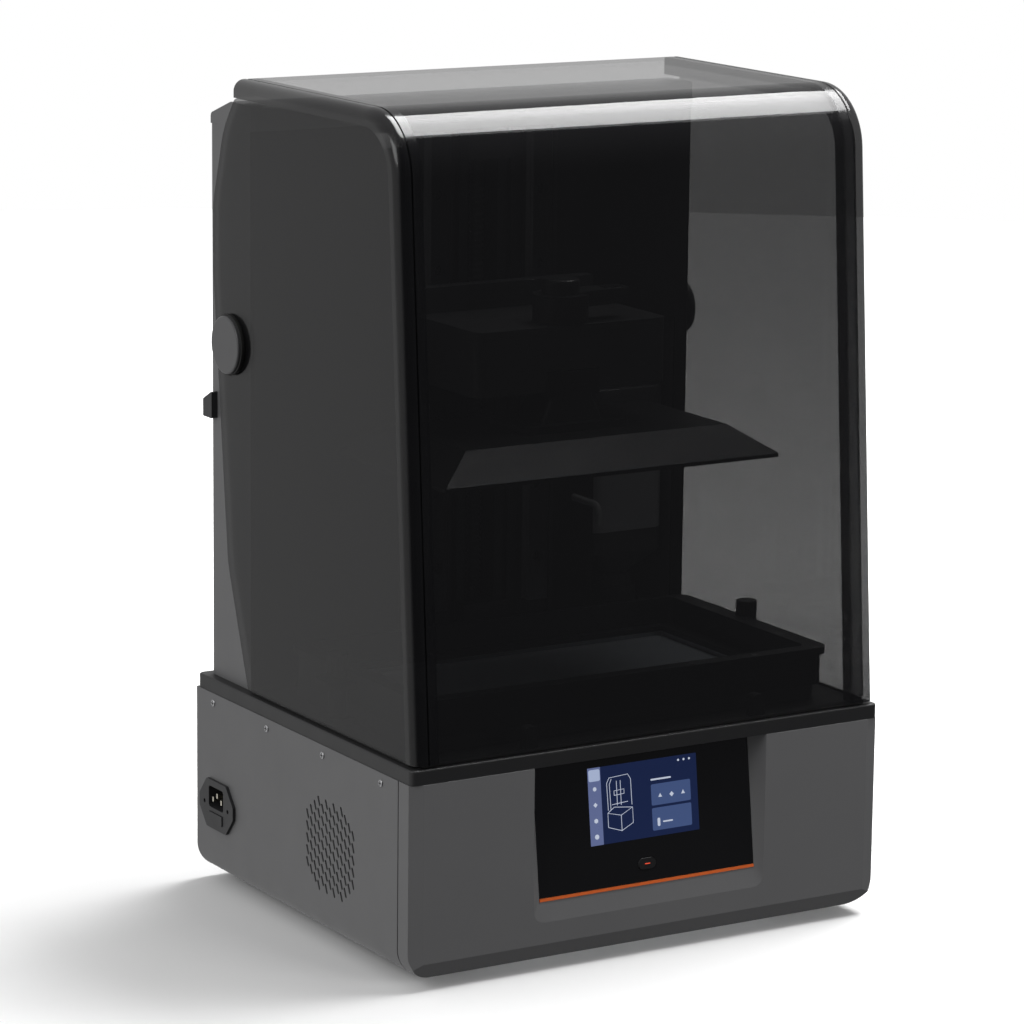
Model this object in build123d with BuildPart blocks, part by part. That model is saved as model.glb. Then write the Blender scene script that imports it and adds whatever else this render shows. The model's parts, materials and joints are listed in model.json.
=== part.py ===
from build123d import *
from math import cos, radians, sin, tan
import os

# Resin printer: a tub-shaped base with the light engine, a rear column with the lift, a vat over the
# mask screen, and a smoke-tinted hood that tips back about two pins in the column.
# Millimetres. Origin: centre of the footprint on the floor. +X is the machine's right, -Y its front.

# ---------------------------------------------------------------- driving dimensions
# base
base_width = 424.0
base_depth = 348.0
foot_height = 8.0
base_height = 152.5
deck_thickness = 11.5
deck_skin = 3.0
deck_rib = 7.0
sheet = 1.5
base_corner_r = 22.0
fascia_depth = 19.0
fascia_wall = 3.0
fascia_corner_w = 11.0
fascia_corner_d = 4.0
seam = 1.2
# column
column_width = 406.0
column_depth = 69.0
column_rear_gap = 10.0
column_height = 464.0
column_wall = 2.5
front_cover_t = 2.5
cap_height = 20.0
cap_rear_drop = 12.0
# hood
hood_headroom = 19.0
hood_side_gap = 3.5
hood_front_gap = 0.5
hood_lean = 4.1
hood_curve_r = 50.0
hood_sheet_t = 3.0
hood_frame_w = 20.5
hood_frame_t = 14.0
hood_groove_w = 1.6
hood_groove_depth = 1.0
hood_side_t = 2.5
hood_seal_t = 2.2
hinge_setback = 26.5
hinge_rise = 274.7
hinge_pin_r = 5.0
hinge_disc_r = 23.0
hinge_disc_t = 5.0
# screen, vat and platform
print_width = 299.0
print_depth = 167.0
print_setback = 127.0
screen_rise = 13.0
vat_height = 29.5
vat_side_wall = 11.0
vat_front_wall = 11.0
vat_rear_wall = 4.0
vat_side_margin = 31.5
vat_front_margin = 26.5
vat_rear_margin = 14.5
vat_rim_t = 6.0
vat_knob_r = 8.5
plate_edge_t = 3.0
plate_rise = 22.0
plate_rest_height = 180.0
# lift
screw_r = 6.0
screw_setback = 2.0
rail_x = 47.0
rail_w = 20.0
rail_t = 15.0
rail_pitch = 60.0
arm_width = 173.0
arm_height = 51.0
# display
glass_lean = 7.2
glass_width = 196.0
glass_t = 2.0
picture_w = 99.0
picture_h = 60.0
button_w = 16.0
button_h = 9.0
# side openings
vent_size = 78.0
vent_cut = 17.0
vent_y = -49.5
vent_z = 81.3
inlet_y = 136.0
inlet_z = 69.5
# resin supply
bottle_w = 72.0
bottle_d = 52.0
bottle_h = 140.0
bottle_x = 152.0
bay_clearance = 3.0
# clearances
gap = 0.3
run_fit = 0.05

# ---------------------------------------------------------------- derived planes and edges
half_w = base_width / 2
front_y = -base_depth / 2
rear_y = base_depth / 2
floor_z = foot_height
deck_bottom = floor_z + base_height
deck_z = deck_bottom + deck_thickness
hood_foot = deck_z + gap + hood_seal_t
hood_half = half_w - hood_side_gap
fascia_back = front_y + fascia_depth
col_half = column_width / 2
col_rear = rear_y - column_rear_gap
col_front = col_rear - column_depth
col_top = deck_z + column_height
hood_top = col_top + hood_headroom
hinge_y = col_front + hinge_setback
hinge_z = deck_z + hinge_rise
print_centre_y = col_front - print_setback
screw_y = col_front + screw_setback
print_front = print_centre_y - print_depth / 2
print_rear = print_centre_y + print_depth / 2
screen_top = deck_z + screen_rise
vat_half = print_width / 2 + vat_side_margin
vat_front = print_front - vat_front_margin
vat_rear = print_rear + vat_rear_margin
vat_foot = screen_top + gap
vat_top = vat_foot + vat_height
glass_foot_z = floor_z + 46.0
glass_foot_y = front_y + 3.0
glass_normal = (0, -cos(radians(glass_lean)), sin(radians(glass_lean)))
glass_plane = Plane(origin=(0, glass_foot_y, glass_foot_z), x_dir=(1, 0, 0), z_dir=glass_normal)
glass_height = (deck_bottom - glass_foot_z) / cos(radians(glass_lean)) - gap

os.makedirs("parts", exist_ok=True)


def block(x0, x1, y0, y1, z0, z1, mode=Mode.ADD):
    """A box between two corners, added to the part that is being built."""
    with Locations(((x0 + x1) / 2, (y0 + y1) / 2, (z0 + z1) / 2)):
        Box(x1 - x0, y1 - y0, z1 - z0, mode=mode)


def post(x, y, z0, z1, r, mode=Mode.ADD):
    """An upright cylinder from z0 to z1."""
    with Locations((x, y, (z0 + z1) / 2)):
        Cylinder(r, z1 - z0, mode=mode)


def hood_front_at(z):
    """Where the leaning front of the hood lies at height z."""
    return front_y + hood_front_gap + (z - deck_z) * tan(radians(hood_lean))


def hood_band(x, depth, foot, rear):
    """Face at x between the hood's front-and-top outline and the same outline moved in by depth."""
    step = depth / cos(radians(hood_lean))
    low_z = hood_top - depth
    with BuildSketch(Plane.YZ.offset(x)) as band:
        with BuildLine():
            FilletPolyline(
                (hood_front_at(foot), foot),
                (hood_front_at(hood_top), hood_top),
                (rear, hood_top),
                radius=hood_curve_r,
            )
            Line((rear, hood_top), (rear, low_z))
            FilletPolyline(
                (rear, low_z),
                (hood_front_at(low_z) + step, low_z),
                (hood_front_at(foot) + step, foot),
                radius=hood_curve_r - depth,
            )
            Line((hood_front_at(foot) + step, foot), (hood_front_at(foot), foot))
        make_face()
    return band.sketch


# ---------------------------------------------------------------- base: tub
with BuildPart() as base_tray:
    block(-half_w + base_corner_r, half_w - base_corner_r, fascia_back + 1, rear_y - sheet - gap,
          floor_z + sheet, floor_z + 2 * sheet)
    for side in (-1, 1):
        with Locations((side * (half_w - base_corner_r - sheet / 2), (fascia_back + rear_y) / 2, floor_z + 8)):
            Box(sheet, base_depth - fascia_depth - 8, 10)
base_tray.part.label = "base_tray"
export_step(base_tray.part, "parts/base_tray.step")

foot_r = 17.0
foot_inset_x = 62.0
foot_inset_y = 50.0
with BuildPart() as feet:
    with BuildSketch():
        with GridLocations(base_width - 2 * foot_inset_x, base_depth - 2 * foot_inset_y, 2, 2):
            Circle(foot_r)
    extrude(amount=floor_z)
    chamfer(feet.faces().sort_by(Axis.Z)[:4].edges(), 1.5)
feet.part.label = "feet"
export_step(feet.part, "parts/feet.step")

panel_screw_z = deck_bottom - 8.0
panel_screw_first = fascia_back + 27.0
panel_screw_pitch = (rear_y - 29.0 - panel_screw_first) / 3
panel_screw_ys = [panel_screw_first + i * panel_screw_pitch for i in range(4)]
vent_pitch_y = 6.0
vent_pitch_z = 9.6
vent_slot = (8.2, 2.5)
vent_tilt = 66.0
vent_points = []
for i in range(-6, 7):
    for j in range(-4, 5):
        dy = i * vent_pitch_y
        dz = j * vent_pitch_z + (vent_pitch_z / 2 if i % 2 else 0)
        inside = max(abs(dy), abs(dz)) < vent_size / 2 - 2
        if inside and abs(dy) + abs(dz) < vent_size - vent_cut - 1:
            vent_points.append((vent_y + dy, vent_z + dz))

inlet_body_w = 29.0
inlet_body_h = 36.0
inlet_flange_w = 58.0
inlet_flange_h = 40.0
port_y = -118.0
port_z = 110.0
port_w = 20.0
port_h = 24.0

for name, side in (("side_panel_left", -1), ("side_panel_right", 1)):
    with BuildPart() as side_panel:
        with BuildSketch(Plane.XZ.offset(-fascia_back - seam)):
            with BuildLine():
                FilletPolyline(
                    (side * half_w, deck_bottom),
                    (side * half_w, floor_z),
                    (side * (half_w - base_corner_r - 14), floor_z),
                    radius=base_corner_r,
                )
                Line((side * (half_w - base_corner_r - 14), floor_z),
                     (side * (half_w - base_corner_r - 14), floor_z + sheet))
                FilletPolyline(
                    (side * (half_w - base_corner_r - 14), floor_z + sheet),
                    (side * (half_w - sheet), floor_z + sheet),
                    (side * (half_w - sheet), deck_bottom),
                    radius=base_corner_r - sheet,
                )
                Line((side * (half_w - sheet), deck_bottom), (side * half_w, deck_bottom))
            make_face()
        extrude(amount=-(base_depth - fascia_depth - sheet - seam))
        outer = Plane.YZ.offset(side * half_w)
        with BuildSketch(outer):
            with Locations(*vent_points):
                SlotOverall(vent_slot[0], vent_slot[1], rotation=-vent_tilt * side)
        extrude(amount=-side * (sheet + 1), mode=Mode.SUBTRACT)
        with BuildSketch(outer):
            with Locations(*[(y, panel_screw_z) for y in panel_screw_ys]):
                Circle(1.6)
        extrude(amount=-side * (sheet + 1), mode=Mode.SUBTRACT)
        with BuildSketch(outer):
            if side < 0:
                with Locations((inlet_y, inlet_z)):
                    Rectangle(inlet_body_w + 2 * gap, inlet_body_h + 2 * gap)
            else:
                with Locations((port_y, port_z)):
                    Rectangle(port_w + 2 * gap, port_h + 2 * gap)
        extrude(amount=-side * (sheet + 1), mode=Mode.SUBTRACT)
    side_panel.part.label = name
    export_step(side_panel.part, f"parts/{name}.step")

with BuildPart() as panel_screws:
    for side in (-1, 1):
        with BuildSketch(Plane.YZ.offset(side * half_w)):
            with Locations(*[(y, panel_screw_z) for y in panel_screw_ys]):
                Circle(3.0)
        extrude(amount=side * 1.9)
        with BuildSketch(Plane.YZ.offset(side * half_w)):
            with Locations(*[(y, panel_screw_z) for y in panel_screw_ys]):
                Circle(1.5)
        extrude(amount=-side * 5)
    fillet(panel_screws.faces().filter_by(Axis.X).group_by(Axis.X)[0].edges(), 1.4)
    fillet(panel_screws.faces().filter_by(Axis.X).group_by(Axis.X)[-1].edges(), 1.4)
panel_screws.part.label = "panel_screws"
export_step(panel_screws.part, "parts/panel_screws.step")

louvre_w = 120.0
louvre_pitch = 8.0
with BuildPart() as rear_panel:
    with BuildSketch(Plane.XZ.offset(-rear_y)):
        with Locations((0, floor_z + base_height / 2)):
            Rectangle(base_width, base_height)
    extrude(amount=sheet)
    fillet(rear_panel.edges().filter_by(Axis.Y).group_by(Axis.Z)[0], base_corner_r)
    with BuildSketch(Plane.XZ.offset(-rear_y)):
        with Locations((-90, floor_z + 75), (90, floor_z + 75)):
            with GridLocations(1, louvre_pitch, 1, 9):
                SlotOverall(louvre_w, 3.0)
    extrude(amount=sheet + 1, mode=Mode.SUBTRACT)
rear_panel.part.label = "rear_panel"
export_step(rear_panel.part, "parts/rear_panel.step")

# ---------------------------------------------------------------- base: fascia with its display
recess_edge = 7.5
strip_h = 2.6
lip_height = 18.0
pocket_back = 22.0
module_w = 124.0
module_h = 78.0
picture_s = 66.5
button_s = 16.5
bevel_height = 13.5
bevel_depth = 9.0


def fascia_core(inset):
    """Solid of the tub's front end: rounded low corners, rounded front corners and a bevelled foot."""
    with BuildPart() as core:
        with BuildSketch(Plane.XZ.offset(-fascia_back - 1)):
            with Locations((0, floor_z + base_height / 2)):
                Rectangle(base_width - 2 * inset, base_height - 2 * inset)
        extrude(amount=fascia_depth + 1 - inset)
        fillet(core.edges().filter_by(Axis.Y).group_by(Axis.Z)[0], base_corner_r - inset)
        with BuildSketch(Plane.XY.offset(floor_z)):
            with BuildLine():
                Polyline(
                    (-half_w + inset, fascia_back + 2),
                    (-half_w + inset, front_y + fascia_corner_d + inset),
                    (-half_w + fascia_corner_w + inset, front_y + inset),
                    (half_w - fascia_corner_w - inset, front_y + inset),
                    (half_w - inset, front_y + fascia_corner_d + inset),
                    (half_w - inset, fascia_back + 2),
                    close=True,
                )
            make_face()
        extrude(amount=base_height, mode=Mode.INTERSECT)
        with BuildSketch(Plane.YZ.offset(-half_w)):
            with BuildLine():
                Polyline(
                    (fascia_back + 1, floor_z + inset),
                    (fascia_back + 1, deck_bottom - inset),
                    (front_y + inset, deck_bottom - inset),
                    (front_y + inset, floor_z + bevel_height),
                    (front_y + inset + bevel_depth, floor_z + inset),
                    close=True,
                )
            make_face()
        extrude(amount=base_width, mode=Mode.INTERSECT)
    return core.part


fascia_outside = fascia_core(0)
fascia_inside = fascia_core(fascia_wall)
with BuildPart() as front_fascia:
    add(fascia_outside)
    add(fascia_inside, mode=Mode.SUBTRACT)
    block(-half_w, half_w, fascia_back, fascia_back + 5, 0, deck_z, mode=Mode.SUBTRACT)
    block(-glass_width / 2 - 14, glass_width / 2 + 14, front_y + 1, front_y + pocket_back,
          glass_foot_z - lip_height - 6, deck_bottom)
    with BuildSketch(glass_plane):
        with Locations((0, glass_height / 2 + 10)):
            Rectangle(glass_width, glass_height + 20)
    with BuildSketch(Plane.XZ.offset(-front_y + 0.5)):
        with Locations((0, glass_foot_z - lip_height + (glass_height + 20 + lip_height) / 2)):
            RectangleRounded(glass_width + 2 * recess_edge, glass_height + 20 + lip_height, 9)
    loft(mode=Mode.SUBTRACT)
    with BuildSketch(glass_plane):
        with Locations((0, glass_height / 2 + 10)):
            Rectangle(glass_width + gap, glass_height + 20)
    extrude(amount=-glass_t - 0.2, mode=Mode.SUBTRACT)
    with BuildSketch(glass_plane):
        with Locations((0, picture_s)):
            Rectangle(module_w + 1, module_h + 1)
        with Locations((0, button_s)):
            Rectangle(button_w + 8, button_h + 6)
    extrude(amount=-40, mode=Mode.SUBTRACT)
front_fascia.part.label = "front_fascia"
export_step(front_fascia.part, "parts/front_fascia.step")

with BuildPart() as display_glass:
    with BuildSketch(glass_plane):
        with Locations((0, (glass_height + strip_h) / 2)):
            Rectangle(glass_width - gap, glass_height - strip_h - gap)
        with Locations((0, button_s)):
            SlotOverall(button_w + 2 * gap, button_h + 2 * gap, mode=Mode.SUBTRACT)
    extrude(amount=-glass_t)
display_glass.part.label = "display_glass"
export_step(display_glass.part, "parts/display_glass.step")

with BuildPart() as accent_strip:
    with BuildSketch(glass_plane):
        with Locations((0, strip_h / 2 + 0.1)):
            Rectangle(glass_width - gap, strip_h - gap)
    extrude(amount=0.6)
    extrude(accent_strip.faces().sort_by(Axis.Y)[-1], amount=glass_t)
accent_strip.part.label = "accent_strip"
export_step(accent_strip.part, "parts/accent_strip.step")

with BuildPart() as display_module:
    with BuildSketch(glass_plane.offset(-glass_t - 0.2)):
        with Locations((0, picture_s)):
            Rectangle(module_w, module_h)
    extrude(amount=-6)
    with BuildSketch(glass_plane.offset(-glass_t - 6.2)):
        with Locations((0, picture_s)):
            Rectangle(picture_w, picture_h)
    extrude(amount=-5)
display_module.part.label = "display_module"
export_step(display_module.part, "parts/display_module.step")

button_travel = 1.2
with BuildPart() as power_button:
    with BuildSketch(glass_plane.offset(0.6)):
        with Locations((0, button_s)):
            SlotOverall(button_w, button_h)
    extrude(amount=-3.6)
    fillet(power_button.faces().sort_by(Axis.Y)[0].edges(), 0.4)
power_button.part.label = "power_button"
export_step(power_button.part, "parts/power_button.step")

with BuildPart() as button_switch:
    with BuildSketch(glass_plane.offset(-3.0 - button_travel - gap)):
        with Locations((0, button_s)):
            Rectangle(button_w + 6, button_h + 4)
    extrude(amount=-3)
button_switch.part.label = "button_switch"
export_step(button_switch.part, "parts/button_switch.step")

# ---------------------------------------------------------------- base: deck, screen and light engine
frame_margin_x = 29.0
frame_margin_y = 20.0
deck_corner_r = 5.0
with BuildPart() as deck_plate:
    with BuildSketch(Plane.XY.offset(deck_bottom)):
        RectangleRounded(base_width - 1, base_depth - 1, deck_corner_r)
        with Locations((0, print_centre_y)):
            Rectangle(print_width + 1, print_depth + 1, mode=Mode.SUBTRACT)
        with Locations((0, screw_y)):
            Circle(screw_r + 6, mode=Mode.SUBTRACT)
    extrude(amount=deck_thickness)
    fillet(deck_plate.faces().sort_by(Axis.Z)[-1].outer_wire().edges(), 1.5)
    for side in (-1, 1):
        with BuildSketch(Plane.XY.offset(deck_bottom)):
            with Locations((side * (print_width / 2 + half_w) / 2, 0)):
                RectangleRounded(half_w - print_width / 2 - 2 * deck_rib, base_depth - 4 * deck_rib, deck_rib)
        extrude(amount=deck_thickness - deck_skin, mode=Mode.SUBTRACT)
deck_plate.part.label = "deck_plate"
export_step(deck_plate.part, "parts/deck_plate.step")

mask_rim = 4.0
mask_t = 2.0
with BuildPart() as screen_frame:
    with BuildSketch(Plane.XY.offset(deck_z)):
        with Locations((0, print_centre_y)):
            RectangleRounded(print_width + 2 * frame_margin_x, print_depth + 2 * frame_margin_y, 8)
            Rectangle(print_width, print_depth, mode=Mode.SUBTRACT)
    extrude(amount=screen_rise)
    with BuildSketch(Plane.XY.offset(screen_top)):
        with Locations((0, print_centre_y)):
            Rectangle(print_width + 2 * mask_rim + gap, print_depth + 2 * mask_rim + gap)
    extrude(amount=-mask_t, mode=Mode.SUBTRACT)
    chamfer(screen_frame.faces().sort_by(Axis.Z)[-1].outer_wire().edges(), 1.2)
screen_frame.part.label = "screen_frame"
export_step(screen_frame.part, "parts/screen_frame.step")

with BuildPart() as mask_screen:
    with BuildSketch(Plane.XY.offset(screen_top)):
        with Locations((0, print_centre_y)):
            Rectangle(print_width + 2 * mask_rim, print_depth + 2 * mask_rim)
    extrude(amount=-mask_t)
mask_screen.part.label = "mask_screen"
export_step(mask_screen.part, "parts/mask_screen.step")

led_w = 128.0
led_d = 72.0
led_z = 56.0
lens_z = 74.0
shroud_t = 2.0
lens_rows = (8, 5)
with BuildPart() as led_board:
    block(-led_w / 2, led_w / 2, print_centre_y - led_d / 2, print_centre_y + led_d / 2, led_z - 2, led_z)
    with BuildSketch(Plane.XY.offset(led_z)):
        with Locations((0, print_centre_y)):
            with GridLocations(15, 13, *lens_rows):
                Rectangle(3.5, 3.5)
    extrude(amount=1.2)
led_board.part.label = "led_board"
export_step(led_board.part, "parts/led_board.step")

with BuildPart() as lens_array:
    block(-led_w / 2, led_w / 2, print_centre_y - led_d / 2, print_centre_y + led_d / 2, lens_z, lens_z + 2)
    with Locations((0, print_centre_y, lens_z)):
        with GridLocations(15, 13, *lens_rows):
            Cylinder(5.6, 3, align=(Align.CENTER, Align.CENTER, Align.MAX))
lens_array.part.label = "lens_array"
export_step(lens_array.part, "parts/lens_array.step")

with BuildPart() as light_shroud:
    with BuildSketch(Plane.XY.offset(led_z + gap)):
        with Locations((0, print_centre_y)):
            Rectangle(led_w + 2 * gap + 2 * shroud_t, led_d + 2 * gap + 2 * shroud_t)
    with BuildSketch(Plane.XY.offset(deck_bottom - gap)):
        with Locations((0, print_centre_y)):
            Rectangle(print_width, print_depth)
    loft()
    with BuildSketch(Plane.XY.offset(led_z + gap)):
        with Locations((0, print_centre_y)):
            Rectangle(led_w + 2 * gap, led_d + 2 * gap)
    with BuildSketch(Plane.XY.offset(deck_bottom - gap)):
        with Locations((0, print_centre_y)):
            Rectangle(print_width - 2 * shroud_t, print_depth - 2 * shroud_t)
    loft(mode=Mode.SUBTRACT)
light_shroud.part.label = "light_shroud"
export_step(light_shroud.part, "parts/light_shroud.step")

sink_h = 34.0
with BuildPart() as heat_sink:
    block(-led_w / 2, led_w / 2, print_centre_y - led_d / 2, print_centre_y + led_d / 2, led_z - 8, led_z - 2)
    with BuildSketch(Plane.XY.offset(led_z - 8)):
        with Locations((0, print_centre_y)):
            with GridLocations(led_w / 13, 1, 13, 1):
                Rectangle(2.4, led_d)
    extrude(amount=-(sink_h - 8))
heat_sink.part.label = "heat_sink"
export_step(heat_sink.part, "parts/heat_sink.step")

# ---------------------------------------------------------------- base: electrics
fan_size = 80.0
fan_depth = 25.0
fan_bore_r = 38.0
fan_hub_r = 15.0
fan_gap = 1.0
fan_shaft_r = 2.5
with BuildPart() as side_fan_frames:
    for side in (-1, 1):
        mouth = Plane.YZ.offset(side * (half_w - sheet - fan_gap))
        back = Plane.YZ.offset(side * (half_w - sheet - fan_gap - fan_depth + 2.5))
        with BuildSketch(mouth):
            with Locations((vent_y, vent_z)):
                RectangleRounded(fan_size, fan_size, 5)
                Circle(fan_bore_r, mode=Mode.SUBTRACT)
        extrude(amount=-side * fan_depth)
        with BuildSketch(back):
            with Locations((vent_y, vent_z)):
                Circle(fan_hub_r)
                Rectangle(2 * fan_bore_r + 2, 4)
                Rectangle(4, 2 * fan_bore_r + 2)
        extrude(amount=-side * 2.5)
        with BuildSketch(back):
            with Locations((vent_y, vent_z)):
                Circle(fan_shaft_r - run_fit)
        extrude(amount=side * 14)
side_fan_frames.part.label = "side_fan_frames"
export_step(side_fan_frames.part, "parts/side_fan_frames.step")

blade_count = 7
for name, side in (("fan_rotor_left", -1), ("fan_rotor_right", 1)):
    with BuildPart() as fan_rotor:
        hub_back = Plane(
            origin=(side * (half_w - sheet - fan_gap - fan_depth + 3.5), vent_y, vent_z),
            x_dir=(0, 1, 0), z_dir=(side, 0, 0))
        with BuildSketch(hub_back):
            Circle(fan_hub_r)
            with PolarLocations((fan_hub_r + fan_bore_r) / 2 - 1, blade_count):
                Rectangle(fan_bore_r - fan_hub_r, 3.2, rotation=18)
            Circle(fan_bore_r - 1.5, mode=Mode.INTERSECT)
        extrude(amount=17)
        with BuildSketch(hub_back):
            Circle(fan_shaft_r)
        extrude(amount=14, mode=Mode.SUBTRACT)
    fan_rotor.part.label = name
    export_step(fan_rotor.part, f"parts/{name}.step")

pin_blade = (2.0, 4.0)
socket_w = 25.0
socket_h = 17.5
socket_depth = 17.0
socket_z = inlet_z + 6.0
drawer_z = inlet_z - 10.5
drawer_w = 22.0
drawer_h = 8.0
drawer_depth = 20.0
pin_offsets = ((-7.0, -2.0), (0.0, 2.0), (7.0, -2.0))
inlet_face = Plane(origin=(-half_w - 2.6, inlet_y, 0), x_dir=(0, -1, 0), z_dir=(-1, 0, 0))
with BuildPart() as inlet_housing:
    with BuildSketch(inlet_face):
        with BuildLine():
            Polyline(
                (-inlet_flange_w / 2, inlet_z - 5),
                (-inlet_body_w / 2 - 2, inlet_z - inlet_flange_h / 2),
                (inlet_body_w / 2 + 2, inlet_z - inlet_flange_h / 2),
                (inlet_flange_w / 2, inlet_z - 5),
                (inlet_flange_w / 2, inlet_z + 5),
                (inlet_body_w / 2 + 2, inlet_z + inlet_flange_h / 2),
                (-inlet_body_w / 2 - 2, inlet_z + inlet_flange_h / 2),
                (-inlet_flange_w / 2, inlet_z + 5),
                close=True,
            )
        make_face()
    extrude(amount=-2.6)
    fillet(inlet_housing.edges().filter_by(Axis.X), 2.5)
    with BuildSketch(Plane(origin=(-half_w, inlet_y, 0), x_dir=(0, -1, 0), z_dir=(-1, 0, 0))):
        with Locations((0, inlet_z)):
            Rectangle(inlet_body_w, inlet_body_h)
    extrude(amount=-26)
    with BuildSketch(inlet_face):
        with Locations((0, socket_z)):
            RectangleRounded(socket_w, socket_h, 2.5)
    extrude(amount=-socket_depth, mode=Mode.SUBTRACT)
    with BuildSketch(inlet_face):
        with Locations((0, drawer_z)):
            Rectangle(drawer_w + 2 * gap, drawer_h + 2 * gap)
    extrude(amount=-drawer_depth - gap, mode=Mode.SUBTRACT)
    with BuildSketch(inlet_face):
        with Locations((-20, inlet_z), (20, inlet_z)):
            Circle(1.7)
    extrude(amount=-3, mode=Mode.SUBTRACT)
inlet_housing.part.label = "inlet_housing"
export_step(inlet_housing.part, "parts/inlet_housing.step")

with BuildPart() as inlet_pins:
    with BuildSketch(inlet_face.offset(-socket_depth)):
        with Locations(*[(u, socket_z + v) for u, v in pin_offsets]):
            Rectangle(*pin_blade)
    extrude(amount=socket_depth - 1)
inlet_pins.part.label = "inlet_pins"
export_step(inlet_pins.part, "parts/inlet_pins.step")

with BuildPart() as fuse_drawer:
    with BuildSketch(inlet_face.offset(0.8)):
        with Locations((0, drawer_z)):
            Rectangle(drawer_w, drawer_h)
    extrude(amount=-drawer_depth)
    with BuildSketch(Plane.XY.offset(drawer_z + drawer_h / 2)):
        with Locations((-half_w + 9, inlet_y)):
            Rectangle(14, drawer_w - 5)
    extrude(amount=-drawer_h + 2, mode=Mode.SUBTRACT)
fuse_drawer.part.label = "fuse_drawer"
export_step(fuse_drawer.part, "parts/fuse_drawer.step")

with BuildPart() as port_block:
    block(half_w - 22, half_w - 0.2, port_y - port_w / 2, port_y + port_w / 2, port_z - port_h / 2,
          port_z + port_h / 2)
    block(half_w - 16, half_w + 1, port_y - 6.5, port_y + 6.5, port_z + 3, port_z + 8.5, mode=Mode.SUBTRACT)
    block(half_w - 16, half_w + 1, port_y - 6.5, port_y + 6.5, port_z - 8.5, port_z - 3, mode=Mode.SUBTRACT)
port_block.part.label = "port_block"
export_step(port_block.part, "parts/port_block.step")

board_z = floor_z + 30.0
board_y = 114.0
board_x = -106.0
board_w = 132.0
board_d = 98.0
with BuildPart() as mainboard:
    block(board_x - board_w / 2, board_x + board_w / 2, board_y - board_d / 2, board_y + board_d / 2,
          board_z, board_z + 1.6)
    for x, y, w, d, h in ((-30, 10, 22, 22, 3), (18, 24, 14, 14, 2.4), (-50, -30, 12, 20, 11),
                          (40, -30, 34, 9, 10), (48, 12, 12, 34, 8), (4, -22, 26, 26, 12)):
        block(board_x + x - w / 2, board_x + x + w / 2, board_y + y - d / 2, board_y + y + d / 2,
              board_z + 1.6, board_z + 1.6 + h)
    for x in (-1, 1):
        for y in (-1, 1):
            post(board_x + x * (board_w / 2 - 6), board_y + y * (board_d / 2 - 6),
                 floor_z + 2 * sheet, board_z, 3)
mainboard.part.label = "mainboard"
export_step(mainboard.part, "parts/mainboard.step")

supply_x = (42.0, 184.0)
supply_y = (70.0, 164.0)
supply_h = 42.0
with BuildPart() as power_supply:
    block(*supply_x, *supply_y, floor_z + 2 * sheet, floor_z + 2 * sheet + supply_h)
    with BuildSketch(Plane.XY.offset(floor_z + 2 * sheet + supply_h)):
        with Locations((sum(supply_x) / 2, sum(supply_y) / 2)):
            with GridLocations(9, 20, 12, 4):
                SlotOverall(14, 3, rotation=90)
    extrude(amount=-3, mode=Mode.SUBTRACT)
    block(supply_x[0] + sheet, supply_x[1] - sheet, supply_y[0] + sheet, supply_y[1] - sheet,
          floor_z + 3 * sheet, floor_z + sheet + supply_h, mode=Mode.SUBTRACT)
power_supply.part.label = "power_supply"
export_step(power_supply.part, "parts/power_supply.step")

motor_half = 28.2
motor_top = deck_bottom - 40.0
motor_h = 56.0
with BuildPart() as stepper_motor:
    block(-motor_half, motor_half, screw_y - motor_half, screw_y + motor_half, motor_top - motor_h, motor_top)
    chamfer(stepper_motor.edges().filter_by(Axis.Z), 4)
    post(0, screw_y, motor_top, motor_top + 1.6, 19)
    for x in (-1, 1):
        for y in (-1, 1):
            post(x * 23.5, screw_y + y * 23.5, motor_top, deck_bottom, 3.5)
    post(0, screw_y, motor_top - 20, motor_top + 3, 4.2, mode=Mode.SUBTRACT)
stepper_motor.part.label = "stepper_motor"
export_step(stepper_motor.part, "parts/stepper_motor.step")

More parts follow.
